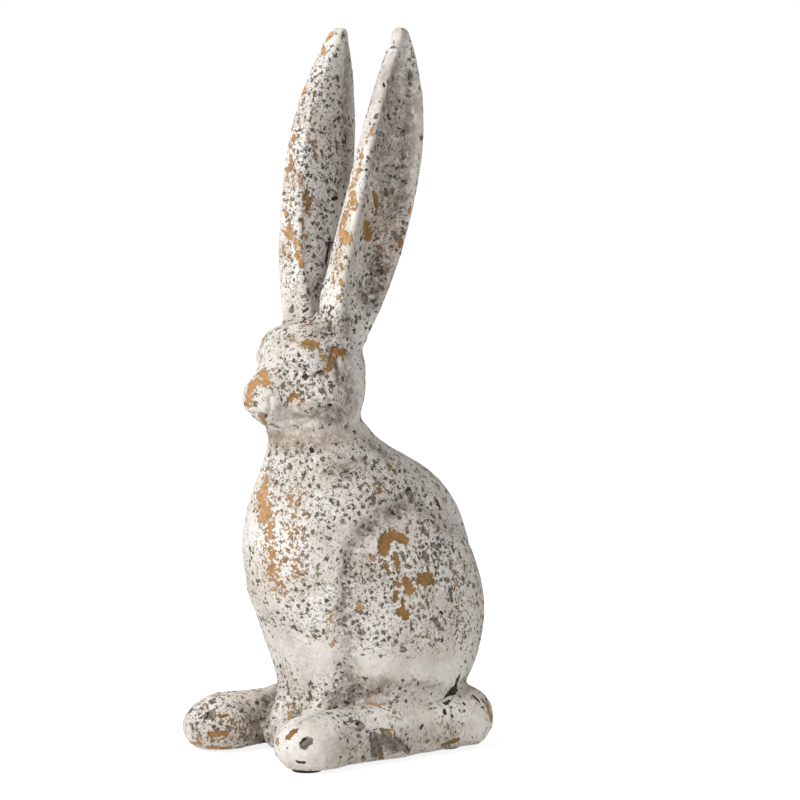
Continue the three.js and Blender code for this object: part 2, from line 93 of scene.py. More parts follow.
# Clay of the head
SKULL = ((0, -30, 262), (34.5, 36.5, 35), 0)
CHEEK = ((19, -34, 246), (18, 28, 23), 0)
MUZZLE = ((0, -65, 244), (16.5, 21.5, 15), 0)
BRIDGE, BRIDGE_RADIUS = (0, -41, 271), 20
NOSE, NOSE_RADIUS = (0, -73, 252), 11
CHIN = ((0, -56.5, 229), (12, 13, 8), 0)
BROW = ((18, -43, 279), (11, 17, 12), 12)

# Clay of the ears
EAR_ROOT_Z = 286
EAR_LENGTH = EAR_TOP - EAR_ROOT_Z + 0.2
EAR_HALF_WIDTH = 28.3
EAR_TURN = 0.07
EAR_EDGE_RADIUS = 4.5
EAR_THICKNESS = 23
EAR_ROOT_THICKNESS = 5
EAR_ROOT_SHARE = 0.52
EAR_WIDEST = 0.4
EAR_TIP_SHARE = 0.999
EAR_TIP_ROUNDNESS = 2.7
EAR_TIP_FULLNESS = 1.1
EAR_THINNING = 0.5
EAR_ROOT_THINNING = 6
EAR_SPINE_SHARE = 0.75
EAR_SPINE_PLACE = 0.2
EAR_BACK_SHARE = 0.94
EAR_GROOVE = 8
GROOVE_TIP_FADE = 0.3
GROOVE_ROOT_START, GROOVE_ROOT_FULL = -0.04, 0.2
SPOON_LIFT = 3
SPOON_SHIFT = 0.1
EAR_ROOT_X, EAR_TIP_X, EAR_BOW = 27, 37.5, 12.5
EAR_ROOT_Y, EAR_TIP_Y = -17, 21
EAR_LOWER_SWEEP, EAR_UPPER_SWEEP = 0.45, 0.77

# Fillets between neighbouring shapes
TRUNK_FILLET, LEG_CREASE, HAUNCH_CREASE, NECK_FLARE = 22, 9, 9, 28
FACE_FILLET, EAR_FLARE, FOOT_FILLET, FOOT_CREASE, TAIL_CREASE = 10, 10, 9, 7, 6

# Cells of the surface nets
SKIN_CELL, HEAD_CELL, EAR_CELL, FOOT_CELL, LINING_CELL = 1.1, 0.8, 0.9, 1.0, 8.0
BLOCK_CELLS = 8
BLOCKS_AT_ONCE = 400

# How far a piece's clay runs under its neighbour's, and past the flat where it is then cut
UNDERLAP = 1.5
PAST_CUT, PAST_END = 1.5, 2

# A distance too small to matter, which keeps divisions safe
TINY = 1e-9


def share(value, start, end):
    return np.clip((value - start) / (end - start), 0, 1)


def smooth(value, start, end):
    t = share(value, start, end)
    return t * t * (3 - 2 * t)


# Clay shapes: functions of a point that are negative inside and about the distance to the surface.
def ellipsoid(centre, radii, lean=0):
    cx, cy, cz = centre
    rx, ry, rz = radii
    c, s = math.cos(math.radians(lean)), math.sin(math.radians(lean))

    def shape(x, y, z):
        px = x - cx
        py = c * (y - cy) + s * (z - cz)
        pz = c * (z - cz) - s * (y - cy)
        near = np.sqrt((px / rx) ** 2 + (py / ry) ** 2 + (pz / rz) ** 2)
        slope = np.sqrt((px / rx**2) ** 2 + (py / ry**2) ** 2 + (pz / rz**2) ** 2)
        return near * (near - 1) / np.maximum(slope, TINY)

    return shape


def limb(start, start_radius, end, end_radius):
    a = np.array(start, float)
    along = np.array(end, float) - a
    square = along @ along

    def shape(x, y, z):
        px, py, pz = x - a[0], y - a[1], z - a[2]
        t = np.clip((px * along[0] + py * along[1] + pz * along[2]) / square, 0, 1)
        away = np.sqrt((px - along[0] * t) ** 2 + (py - along[1] * t) ** 2 + (pz - along[2] * t) ** 2)
        return away - (start_radius + (end_radius - start_radius) * t)

    return shape


def fillet(a, b, width):
    h = np.maximum(width - np.abs(a - b), 0) / width
    return np.minimum(a, b) - h * h * width / 4


def blended(width, first, *others):
    def shape(x, y, z):
        made = first(x, y, z)
        for other in others:
            made = fillet(made, other(x, y, z), width)
        return made

    return shape


def paired(shape):
    return lambda x, y, z: shape(np.abs(x), y, z)


seat_clay = ellipsoid(*SEAT)
trunk = blended(TRUNK_FILLET, ellipsoid(*BARREL), ellipsoid(*CHEST), ellipsoid(*BACK),
                lambda x, y, z: seat_clay(x, y, np.maximum(z, SEAT[0][2])))
haunches = paired(ellipsoid(*HAUNCH))
foreleg = blended(LEG_CREASE, limb(SHOULDER, SHOULDER_RADIUS, WRIST, WRIST_RADIUS),
                  limb(WRIST, WRIST_RADIUS, PAW, PAW_RADIUS))
forelegs = blended(LEG_CREASE, paired(foreleg),
                   limb(BRISKET, BRISKET_RADIUS, BRISKET_FOOT, BRISKET_FOOT_RADIUS))
neck = limb(NECK_ROOT, NECK_ROOT_RADIUS, NECK_TOP, NECK_TOP_RADIUS)
torso = blended(NECK_FLARE, blended(HAUNCH_CREASE, blended(LEG_CREASE, trunk, forelegs), haunches), neck)
lining = blended(NECK_FLARE, blended(HAUNCH_CREASE, trunk, haunches), neck)
skull = blended(FACE_FILLET, ellipsoid(*SKULL), paired(ellipsoid(*CHEEK)), ellipsoid(*MUZZLE),
                limb(BRIDGE, BRIDGE_RADIUS, NOSE, NOSE_RADIUS), ellipsoid(*CHIN), paired(ellipsoid(*BROW)))
tail = ellipsoid(*TAIL)
feet = paired(blended(FOOT_FILLET, limb(BALL, SOLE_RADIUS, INSTEP, SOLE_RADIUS),
                      limb(INSTEP, SOLE_RADIUS, HEEL, HEEL_RADIUS), ellipsoid(*TOE)))


def ear_line(u):
    """x and y of the left ear's outer rim at a share of its length."""
    sweep = EAR_TIP_Y - EAR_ROOT_Y
    xs = (EAR_ROOT_X, EAR_ROOT_X + EAR_BOW, EAR_TIP_X + EAR_BOW, EAR_TIP_X)
    ys = (EAR_ROOT_Y, EAR_ROOT_Y + sweep * EAR_LOWER_SWEEP, EAR_ROOT_Y + sweep * EAR_UPPER_SWEEP, EAR_TIP_Y)
    weights = ((1 - u) ** 3, 3 * u * (1 - u) ** 2, 3 * u**2 * (1 - u), u**3)
    return (sum(w * value for w, value in zip(weights, axis)) for axis in (xs, ys))


def outline_distance(px, py, corners):
    """Distance to a convex outline in the plane, whose corners run anticlockwise."""
    nearest = np.full(px.shape, np.inf)
    inside = np.ones(px.shape, bool)
    for i, (ax, ay) in enumerate(corners):
        bx, by = corners[(i + 1) % len(corners)]
        ex, ey = bx - ax, by - ay
        t = np.clip(((px - ax) * ex + (py - ay) * ey) / (ex * ex + ey * ey), 0, 1)
        nearest = np.minimum(nearest, np.hypot(px - ax - ex * t, py - ay - ey * t))
        inside &= ex * (py - ay) - ey * (px - ax) >= 0
    return np.where(inside, -nearest, nearest)


def left_ear(x, y, z):
    height = z - EAR_ROOT_Z
    u = share(height, 0, EAR_LENGTH)
    spread = EAR_TIP_SHARE * share(u, EAR_WIDEST, 1)
    swell = 1 - (1 - EAR_ROOT_SHARE) * (1 - u / EAR_WIDEST) ** 2
    leaf = np.where(u < EAR_WIDEST, swell, (1 - spread**EAR_TIP_ROUNDNESS) ** EAR_TIP_FULLNESS)
    half = (EAR_HALF_WIDTH - EAR_EDGE_RADIUS) * leaf
    blade_thickness = (EAR_THICKNESS - 2 * EAR_EDGE_RADIUS) * (1 - u) ** EAR_THINNING
    thickness = blade_thickness + EAR_ROOT_THICKNESS * (1 - u) ** EAR_ROOT_THINNING
    fade = share(1 - u, 0, GROOVE_TIP_FADE) * share(u, GROOVE_ROOT_START, GROOVE_ROOT_FULL)
    line_x, line_y = ear_line(u)
    py = y - line_y
    px = x - line_x + EAR_TURN * py
    rim = -EAR_EDGE_RADIUS
    back = rim - 1
    flat = outline_distance(px, py, [
        (rim, -half),
        (back, half),
        (back - EAR_SPINE_SHARE * thickness, EAR_SPINE_PLACE * half),
        (back - thickness, -EAR_BACK_SHARE * half),
    ])
    past = np.maximum(np.maximum(height - EAR_LENGTH + EAR_EDGE_RADIUS, -height), 0)
    blade = np.hypot(np.maximum(flat, 0), past) + np.minimum(flat, 0) - EAR_EDGE_RADIUS
    spoon = EAR_GROOVE * fade + SPOON_LIFT
    half_spoon = EAR_BACK_SHARE * half + 0.1
    scoop = np.hypot((px - SPOON_LIFT) / spoon, (py + SPOON_SHIFT * half) / half_spoon) - 1
    return -fillet(-blade, scoop * np.minimum(spoon, half_spoon), SPOON_LIFT)


ears = paired(left_ear)
bust = blended(EAR_FLARE, torso, skull, ears)
body = blended(EAR_FLARE, torso, skull)


def torso_skin(x, y, z):
    """The torso with fillets up to the feet and the tail, which keep their own clay."""
    core = body(x, y, z)
    foot = feet(x, y, z)
    stub = tail(x, y, z)
    skin = fillet(fillet(core, foot, FOOT_CREASE), stub, TAIL_CREASE)
    past_foot = -foot - UNDERLAP * (1 - core / FOOT_CREASE)
    past_stub = -stub - UNDERLAP * (1 - core / TAIL_CREASE)
    outside = np.maximum(skin, np.minimum(core, np.maximum(past_foot, past_stub)))
    return np.maximum(np.maximum(outside, z - NECK_HEIGHT - PAST_END), CAST_BOTTOM - PAST_END - z)


def everything(x, y, z):
    """The whole outside of the statue."""
    return fillet(fillet(bust(x, y, z), feet(x, y, z), FOOT_CREASE), tail(x, y, z), TAIL_CREASE)


def slope_of(shape, points, step=0.3):
    """The unit direction in which a shape's distance grows, at each point."""
    columns = []
    for axis in range(3):
        ahead, behind = points.copy(), points.copy()
        ahead[:, axis] += step
        behind[:, axis] -= step
        columns.append(shape(*ahead.T) - shape(*behind.T))
    slope = np.stack(columns, 1)
    return slope / np.maximum(np.linalg.norm(slope, axis=1)[:, None], TINY)


# Surface nets: one knot in every small cell that a surface passes through.
CELL_CORNERS = np.array([(n & 1, (n >> 1) & 1, n >> 2) for n in range(8)])
CELL_EDGES = [(a, a + step) for a in range(8) for step in (1, 2, 4) if not a & step]


def net(shape, low, high, cell, rounds=2):
    """Knots, and faces of four knots each, on a shape's surface between two corners."""
    low, high = np.array(low, float), np.array(high, float)
    span = cell * BLOCK_CELLS
    counts = np.ceil((high - low) / span).astype(int)
    blocks = np.stack(np.meshgrid(*map(np.arange, counts), indexing="ij"), -1).reshape(-1, 3)
    middles = low + (blocks + 0.5) * span
    near = np.abs(shape(*middles.T)) < span * 1.5
    grid = np.stack(np.meshgrid(*[np.arange(BLOCK_CELLS + 1)] * 3, indexing="ij"), -1).reshape(-1, 3)
    knots, cells = [], []
    for group in np.array_split(blocks[near], max(1, int(near.sum()) // BLOCKS_AT_ONCE)):
        corner = group[:, None] * BLOCK_CELLS + grid[None]
        place = low + corner.reshape(-1, 3) * cell
        depth = shape(*place.T).reshape(-1, *[BLOCK_CELLS + 1] * 3)
        value = np.stack([depth[:, a:a + BLOCK_CELLS, b:b + BLOCK_CELLS, c:c + BLOCK_CELLS]
                          for a, b, c in CELL_CORNERS], -1)
        inside = value < 0
        active = np.argwhere(inside.any(-1) & ~inside.all(-1))
        value = value[tuple(active.T)]
        total, crossed = np.zeros((len(active), 3)), np.zeros(len(active))
        for a, b in CELL_EDGES:
            cut = (value[:, a] < 0) != (value[:, b] < 0)
            gap = np.where(cut, value[:, a] - value[:, b], 1.0)
            t = np.where(cut, value[:, a] / gap, 0.0)[:, None]
            total += cut[:, None] * (CELL_CORNERS[a] + t * (CELL_CORNERS[b] - CELL_CORNERS[a]))
            crossed += cut
        own = group[active[:, 0]] * BLOCK_CELLS + active[:, 1:]
        knots.append(low + (own + total / crossed[:, None]) * cell)
        cells.append(np.concatenate([own, (value[:, [0, 1, 2, 4]] < 0)], 1))
    knots, cells = np.concatenate(knots), np.concatenate(cells).astype(np.int64)
    size = counts * BLOCK_CELLS + 2
    key = ((cells[:, 2] * size[1]) + cells[:, 1]) * size[0] + cells[:, 0]
    order = np.argsort(key)
    knots, cells, key = knots[order], cells[order], key[order]
    steps = (1, size[0], size[0] * size[1])
    faces = []
    for axis in range(3):
        one, two = steps[(axis + 1) % 3], steps[(axis + 2) % 3]
        here = cells[:, 3] != cells[:, 4 + axis]
        ring = np.stack([key, key - one, key - one - two, key - two], 1)[here]
        found = np.searchsorted(key, ring)
        flip = cells[here, 3] == 0
        found[flip] = found[flip][:, ::-1]
        faces.append(found)
    faces = np.concatenate(faces)
    for _ in range(rounds):
        value = shape(*knots.T)[:, None]
        knots = knots - slope_of(shape, knots) * np.clip(value, -cell / 2, cell / 2)
    return knots, faces[:, ::-1]


def linked(name, data):
    """A new object in the scene."""
    made = bpy.data.objects.new(name, data)
    bpy.context.scene.collection.objects.link(made)
    return made


def mesh_object(name, knots, faces):
    """A mesh object, in metres, from knots in millimetres."""
    mesh = bpy.data.meshes.new(name)
    mesh.vertices.add(len(knots))
    mesh.vertices.foreach_set("co", (knots * MM).astype(np.float32).ravel())
    sides = faces.shape[1]
    mesh.loops.add(faces.size)
    mesh.loops.foreach_set("vertex_index", faces.astype(np.int32).ravel())
    mesh.polygons.add(len(faces))
    mesh.polygons.foreach_set("loop_start", np.arange(0, faces.size, sides, dtype=np.int32))
    mesh.update(calc_edges=True)
    return linked(name, mesh)


def block(low, high):
    """A cutting block between two corners."""
    corners = np.array([[(low, high)[(n >> axis) & 1][axis] for axis in range(3)] for n in range(8)], float)
    faces = np.array([(0, 2, 3, 1), (4, 5, 7, 6), (0, 1, 5, 4), (2, 6, 7, 3), (0, 4, 6, 2), (1, 3, 7, 5)])
    return mesh_object("block", corners, faces)


def cut(target, *steps):
    """Applies boolean steps, each an operation and the object it uses, and gives the target's new mesh."""
    for operation, tool in steps:
        step = target.modifiers.new(operation, "BOOLEAN")
        step.operation = operation
        step.solver = "MANIFOLD"
        step.object = tool
    bpy.context.view_layer.update()
    made = bpy.data.meshes.new_from_object(target.evaluated_get(bpy.context.evaluated_depsgraph_get()))
    target.modifiers.clear()
    target.data = made
    for _, tool in steps:
        bpy.data.objects.remove(tool)
    return target


REACH = 700
MOUTH_DEPTH = 10
SPIGOT = (0, NECK_TOP[1] + 4)
SPIGOT_RADIUS, SPIGOT_CLEARANCE = 20, 0.4
SPIGOT_OVERRUN, SOCKET_OVERRUN = 20, 5
ROD_RADIUS, ROD_CLEARANCE = 2, 0.3
FOOT_GAP = 0.3
ROUND_SIDES = 64

# Boxes that the nets search, each a little larger than its casting
TORSO_BOX = ((-80, -90, CAST_BOTTOM - 4), (80, 108, NECK_HEIGHT + 4))
HOLLOW_BOX = ((-80, -80, -20), (80, 110, NECK_HEIGHT + 10))
RING_BOX = ((-60, -90, NECK_HEIGHT - 3), (60, 60, RING_TOP + 3))
HEAD_BOX = ((-60, -100, RING_TOP - 4), (60, 50, EAR_JOINT + 4))
EAR_BOX = ((-4, -60, EAR_JOINT - 4), (64, 60, EAR_TOP + 6))
FOOT_BOX = ((10, -110, CAST_BOTTOM - 4), (90, 100, 60))
TAIL_BOX = ((-30, 50, 10), (30, 115, 80))


def skin_block(bottom, top):
    """Everything between two heights."""
    return block((-REACH, -REACH, bottom), (REACH, REACH, top))


def bar(name, start, end, radius, sides=ROUND_SIDES):
    """A straight round bar between two points."""
    start, end = Vector(start), Vector(end)
    turn = (end - start).to_track_quat("Z", "Y")
    angles = [2 * math.pi * n / sides for n in range(sides)]
    ring = [turn @ Vector((radius * math.cos(a), radius * math.sin(a), 0)) for a in angles]
    mesh = bpy.data.meshes.new(name)
    points = [(start + p) * MM for p in ring] + [(end + p) * MM for p in ring]
    walls = [(n, (n + 1) % sides, sides + (n + 1) % sides, sides + n) for n in range(sides)]
    mesh.from_pydata(points, [], walls + [tuple(range(sides))[::-1], tuple(range(sides, 2 * sides))])
    return linked(name, mesh)


def socket(bottom, top):
    """What makes room for the head's spigot between two heights, and runs past both."""
    ends = (*SPIGOT, bottom - SOCKET_OVERRUN), (*SPIGOT, top + SOCKET_OVERRUN)
    return bar("socket", *ends, SPIGOT_RADIUS + SPIGOT_CLEARANCE)


def rod_ends(node):
    """The ends of a rod's axis, in millimetres, from its model."""
    points = np.array([v.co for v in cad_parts[node].data.vertices], float) / MM
    middle = points.mean(0)
    along = np.linalg.svd(points - middle)[2][0]
    reach = np.abs((points - middle) @ along).max()
    return middle - along * reach, middle + along * reach


def rod_channel(node):
    """What makes room for a rod, all round it and past its ends."""
    low, high = rod_ends(node)
    spare = (high - low) / np.linalg.norm(high - low) * ROD_CLEARANCE
    return bar("channel", low - spare, high + spare, ROD_RADIUS + ROD_CLEARANCE)


def largest(knots, faces):
    """The body with the most knots of a net that holds several."""
    label = np.arange(len(knots))
    while True:
        lowest = label.copy()
        np.minimum.at(lowest, faces.ravel(), np.repeat(label[faces].min(1), faces.shape[1]))
        lowest = lowest[lowest]
        if (lowest == label).all():
            break
        label = lowest
    keep = label == np.bincount(label).argmax()
    return knots[keep], (np.cumsum(keep) - 1)[faces[keep[faces[:, 0]]]]


def mirrored(knots, faces):
    return knots * (-1, 1, 1), faces[:, ::-1]


def torso_halves():
    skin = net(torso_skin, *TORSO_BOX, SKIN_CELL)
    mouth = NECK_HEIGHT - MOUTH_DEPTH
    hollow = net(lambda x, y, z: np.maximum(lining(x, y, z) + WALL, z - mouth), *HOLLOW_BOX, LINING_CELL)
    halves = []
    for side, near, far in (("left", 0, REACH), ("right", -REACH, 0)):
        half = mesh_object(side + "_torso_casting", *skin)
        cut(
            half,
            ("INTERSECT", block((near, -REACH, CAST_BOTTOM), (far, REACH, NECK_HEIGHT))),
            ("DIFFERENCE", mesh_object("hollow", *hollow)),
            ("DIFFERENCE", socket(mouth, NECK_HEIGHT)),
        )
        halves.append(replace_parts(half, side + "_torso_shell"))
    return halves


def bust_slice(name, box, bottom, top, *steps):
    """The bust between two heights: netted a little past them, cut flat there, then cut by further steps."""
    def clipped(x, y, z):
        return np.maximum(np.maximum(bust(x, y, z), z - top - PAST_CUT), bottom - PAST_CUT - z)

    casting = mesh_object(name, *net(clipped, *box, HEAD_CELL))
    return cut(casting, ("INTERSECT", skin_block(bottom, top)), *steps)


def neck_ring():
    room = ("DIFFERENCE", socket(NECK_HEIGHT, RING_TOP))
    ring = bust_slice("neck_fill", RING_BOX, NECK_HEIGHT, RING_TOP, room)
    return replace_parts(ring, "neck_fill_ring")


def head_casting():
    spigot_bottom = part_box("head")[0].z / MM
    spigot = bar("spigot", (*SPIGOT, spigot_bottom), (*SPIGOT, RING_TOP + SPIGOT_OVERRUN), SPIGOT_RADIUS)
    channels = [("DIFFERENCE", rod_channel(node)) for node in ("left_ear_rod", "right_ear_rod")]
    head = bust_slice("head_casting", HEAD_BOX, RING_TOP, EAR_JOINT, ("UNION", spigot), *channels)
    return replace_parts(head, "head")


def ear_castings():
    def half(x, y, z):
        return np.maximum(np.maximum(bust(x, y, z), -x), EAR_JOINT - PAST_END - z)

    left = net(half, *EAR_BOX, EAR_CELL)
    made = []
    for side, knots_faces in (("left", left), ("right", mirrored(*left))):
        ear = mesh_object(side + "_ear_casting", *knots_faces)
        cut(ear, ("INTERSECT", skin_block(EAR_JOINT, REACH)), ("DIFFERENCE", rod_channel(side + "_ear_rod")))
        made.append(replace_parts(ear, side + "_ear"))
    return made


def hind_feet():
    def beside(x, y, z):
        return np.maximum(np.maximum(feet(x, y, z), FOOT_GAP - body(x, y, z)), CAST_BOTTOM - PAST_END - z)

    left = largest(*net(beside, *FOOT_BOX, FOOT_CELL))
    made = []
    for side, knots_faces in (("left", left), ("right", mirrored(*left))):
        foot = mesh_object(side + "_hind_foot_casting", *knots_faces)
        cut(foot, ("INTERSECT", skin_block(CAST_BOTTOM, REACH)))
        made.append(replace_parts(foot, side + "_hind_foot"))
    return made


def tail_casting():
    def behind(x, y, z):
        return np.maximum(tail(x, y, z), FOOT_GAP - body(x, y, z))

    stub = mesh_object("tail_casting", *largest(*net(behind, *TAIL_BOX, FOOT_CELL)))
    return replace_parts(stub, "tail")


NOISE_WAYS, NOISE_GAIN = 256, 1.6


def noise(points, size, seed):
    """Smooth noise, from about -1 to 1, with bumps about a size across."""
    table = np.random.default_rng(seed)
    ways = table.normal(size=(NOISE_WAYS, 3))
    ways /= np.linalg.norm(ways, axis=1)[:, None]
    order = table.permutation(NOISE_WAYS)
    spot = points / size
    base = np.floor(spot).astype(int)
    away = spot - base
    ease = away**3 * (away * (away * 6 - 15) + 10)
    total = np.zeros(len(points))
    for corner in CELL_CORNERS:
        i, j, k = ((base + corner) % NOISE_WAYS).T
        way = ways[order[(order[(order[i] + j) % NOISE_WAYS] + k) % NOISE_WAYS]]
        weight = np.prod(np.where(corner, ease, 1 - ease), 1)
        total += weight * ((away - corner) * way).sum(1)
    return total * NOISE_GAIN


def layered(points, size, seed, layers=3):
    """Noise with finer layers on it, each half as wide and half as strong."""
    return sum(noise(points, size / 2**n, seed + n) / 2**n for n in range(layers)) / (2 - 2 ** (1 - layers))


def patches(points, size, seed, start, end):
    """Patches of noise: 0 where it is below start and 1 where it is above end."""
    return smooth(layered(points, size, seed, 2), start, end)


def camera_frame():
    """The camera's place and its right, up and forward directions."""
    azimuth = math.radians(VIEW_AZIMUTH)
    place = np.array([math.sin(azimuth), -math.cos(azimuth), 0]) * CAMERA_DISTANCE
    place[2] = CAMERA_HEIGHT
    aside = PICTURE_SIDE / 2 - GROUND_PIXEL[0]
    drop = math.atan((GROUND_PIXEL[1] - PICTURE_SIDE / 2) / FOCAL_PIXELS)
    slant = math.hypot(CAMERA_DISTANCE, CAMERA_HEIGHT)
    yaw = math.asin(aside / FOCAL_PIXELS * slant * math.cos(drop) / CAMERA_DISTANCE)
    pitch = math.atan(CAMERA_HEIGHT / (CAMERA_DISTANCE * math.cos(yaw))) - drop
    turn = azimuth - yaw
    level = np.array([-math.sin(turn), math.cos(turn), 0])
    right = np.array([math.cos(turn), math.sin(turn), 0])
    forward = level * math.cos(pitch) + np.array([0, 0, -math.sin(pitch)])
    return place, right, np.cross(right, forward), forward


EYE, RIGHT, UP, FORWARD = camera_frame()


MARCH_STEPS, MARCH_SHARE, MARCH_START = 60, 0.8, 0.9
MARCH_BACK, MARCH_AHEAD = -20, 60


def on_surface(pixels):
    """The points of the statue that the photograph shows at these pixels, by stepping along their rays."""
    aside, down = (np.array(pixels, float) - PICTURE_SIDE / 2).T
    rays = FORWARD * FOCAL_PIXELS + np.outer(aside, RIGHT) - np.outer(down, UP)
    rays /= np.linalg.norm(rays, axis=1)[:, None]
    travelled = np.full(len(rays), CAMERA_DISTANCE * MARCH_START)
    for _ in range(MARCH_STEPS):
        gap = everything(*(EYE + rays * travelled[:, None]).T)
        travelled = travelled + MARCH_SHARE * np.clip(gap, MARCH_BACK, MARCH_AHEAD)
    return EYE + rays * travelled[:, None]


MILLIMETRES_A_PIXEL = CAMERA_DISTANCE / FOCAL_PIXELS

# The longest step, in pixels, along a painted place, so that it follows the surface
ROUTE_STEP = 14

# Worn and smudged places, and painted shade and shadow. Each is a stroke from one pixel of the photograph to
# another:
# x, y, x, y, radius in pixels and strength, which is 1 if left out. 0.4 is a scatter of flakes, 0.7 a ragged
# patch and 1.5 a whole one.
# Ochre shows through here:
OCHRE = {
    "nose": [
        (262, 373, 267, 383, 6.5, 0.92), (254, 383, 265, 382, 6.5, 0.95), (251, 385, 248, 403, 4.8, 1.05),
        (273, 370, 276, 376, 2.5, 0.6),
    ],
    "far_face": [(266, 335, 262, 344, 3, 0.7), (261, 357, 260, 364, 3, 0.7)],
    "chin": [(260, 416, 266, 425, 3.6, 0.75)],
    "brow": [(306, 343, 316, 345, 5.5, 0.9), (319, 352, 325, 361, 3.5, 0.7)],
    "eye_hook": [(332, 355, 328, 369, 4.2), (334, 351, 343, 352, 4, 1.2)],
    "temple": [(303, 320, 307, 326, 4, 0.6)],
    "cheek": [(290, 399, 294, 394, 2.6, 1.1), (298, 396, 305, 402, 4, 0.55), (291, 340, 292, 341, 1.6, 1.1)],
    "chest": [
        (264, 484, 276, 590, 17, 0.65), (290, 498, 296, 570, 20, 0.53), (262, 494, 265, 516, 14, 0.88),
        (266, 479, 265, 487, 6, 0.85), (269, 524, 273, 548, 8, 0.78), (271, 556, 275, 574, 4, 0.85),
        (279, 580, 286, 589, 3.5, 0.75),
    ],
    "haunch": [
        (383, 551, 384, 542, 5.2, 1.5), (384, 541, 391, 535, 4.6, 1.5), (392, 535, 405, 540, 3.8, 1.5),
        (396, 558, 398, 566, 2.3, 1.6), (370, 558, 374, 560, 2.3, 0.9), (406, 580, 410, 591, 3.7, 1.6),
        (422, 579, 429, 579, 5.6, 1.6), (396, 592, 395, 600, 2.3, 1.5), (402, 613, 406, 615, 4.8, 1.5),
        (403, 599, 403, 606, 1.8, 1.4), (397, 584, 399, 585, 2.2, 1.5), (386, 565, 388, 570, 2.2),
        (405, 560, 430, 630, 24, 0.4), (455, 570, 462, 640, 15, 0.5),
    ],
    "side": [(358, 605, 362, 608, 2.4, 1.1)],
    "leg": [(332, 612, 327, 624, 4, 0.7), (332, 643, 332, 646, 2.2, 0.9), (345, 590, 335, 640, 10, 0.4)],
    "back": [(389, 465, 396, 473, 3.2, 0.9), (376, 482, 379, 492, 3.4, 0.7)],
    "far_ear": [
        (331, 34, 327, 39, 2.8, 1.3), (322, 47, 324, 52, 2.8, 1.2), (304, 90, 303, 93, 2.3, 1.4),
        (294, 136, 294, 139, 2.3, 1.4), (291, 156, 290, 166, 2.3, 1.1), (307, 135, 308, 141, 2.6, 0.85),
        (316, 141, 316, 158, 2.8, 0.85), (289, 146, 290, 149, 2), (287, 170, 287, 181, 2.8, 0.8),
        (299, 172, 301, 184, 5, 0.68), (308, 194, 309, 209, 7, 0.85), (284, 210, 286, 214, 2.2, 1.1),
        (290, 206, 292, 207, 1.8, 1.1), (288, 228, 291, 237, 6.4, 0.9), (304, 223, 305, 229, 2.6, 0.95),
        (304, 235, 309, 237, 2.8, 0.75), (295, 243, 303, 246, 3.8, 0.95), (298, 254, 302, 264, 4.2, 1.1),
        (283, 243, 284, 254, 2.4, 0.9), (295, 120, 288, 262, 14, 0.44), (285, 262, 292, 300, 8, 0.3),
    ],
    "near_ear_rim": [
        (372, 128, 371, 133, 2.3), (367, 138, 366, 143, 2.2, 0.9), (362, 152, 360, 165, 4.8, 0.76),
        (358, 170, 353, 184, 5.6, 0.78), (352, 186, 353, 204, 7, 0.86), (349, 206, 343, 224, 7.4, 0.86),
        (341, 232, 347, 240, 5.8, 1.1), (340, 250, 335, 270, 9, 0.6), (341, 263, 342, 269, 2.2, 0.9),
        (340, 281, 341, 284, 2.2, 1.3), (333, 277, 334, 283, 2.3, 0.9),
    ],
    "near_ear_root": [(337, 297, 339, 299, 2.1)],
    "near_ear_hollow": [
        (374, 193, 377, 205, 3, 1.2), (366, 225, 368, 237, 4.4, 1.3), (397, 236, 402, 246, 5.4, 0.8),
        (410, 208, 409, 214, 1.8, 1.1), (407, 238, 406, 245, 2, 1.2), (392, 195, 382, 250, 14, 0.36),
    ],
    "far_toe": [
        (216, 714, 230, 719, 5.5, 0.68), (205, 706, 245, 728, 12, 0.42), (211, 735, 226, 733, 2.6, 1.4),
        (190, 742, 200, 744, 2.3, 1.4), (207, 747, 230, 748, 2, 1.6), (196, 738, 238, 738, 8, 0.45),
    ],
    "near_toe": [
        (290, 713, 290, 719, 2, 1.1), (289, 736, 294, 731, 3, 1.7), (278, 740, 278, 744, 1.8, 1.2),
        (309, 739, 311, 743, 1.8, 1.3), (284, 706, 304, 709, 4.5, 0.55),
    ],
    "instep": [(370, 703, 375, 704, 2.2, 1.6), (382, 706, 398, 714, 8, 0.56)],
    "patch": [(382, 730, 391, 731, 2.2, 1.1), (379, 749, 381, 757, 3.4, 1.2)],
    "sole": [(444, 745, 457, 740, 3.6, 1.1)],
    "heel": [(440, 722, 456, 734, 9, 0.54), (487, 704, 491, 718, 2.5, 1.7)],
}

# The ochre is darkened to umber here:
UMBER = {
    "haunch": [
        (388, 545, 408, 538, 14), (398, 570, 430, 580, 16), (396, 592, 406, 618, 10),
        (455, 570, 462, 640, 15),
    ],
    "eye_hook": [(325, 368, 342, 352, 8)],
    "temple": [(303, 320, 307, 326, 7)],
    "brow": [(306, 343, 316, 345, 7, 0.6)],
    "cheek": [(290, 400, 303, 396, 9)],
    "far_ear": [(308, 190, 309, 206, 7, 0.7), (316, 141, 316, 158, 5, 0.7)],
    "near_ear_hollow": [(372, 190, 375, 240, 12), (400, 230, 400, 250, 12)],
    "back": [(390, 466, 377, 490, 9)],
    "toes": [(211, 735, 226, 733, 5), (286, 738, 294, 731, 6, 0.7)],
    "sole": [(443, 746, 458, 741, 6)],
    "patch": [(380, 730, 381, 757, 9)],
    "neck": [(272, 440, 345, 438, 9, 0.6)],
    "far_foot": [(205, 735, 262, 735, 12, 0.8), (205, 708, 240, 722, 14, 0.8)],
    "foot": [(335, 752, 445, 738, 12, 0.8)],
}

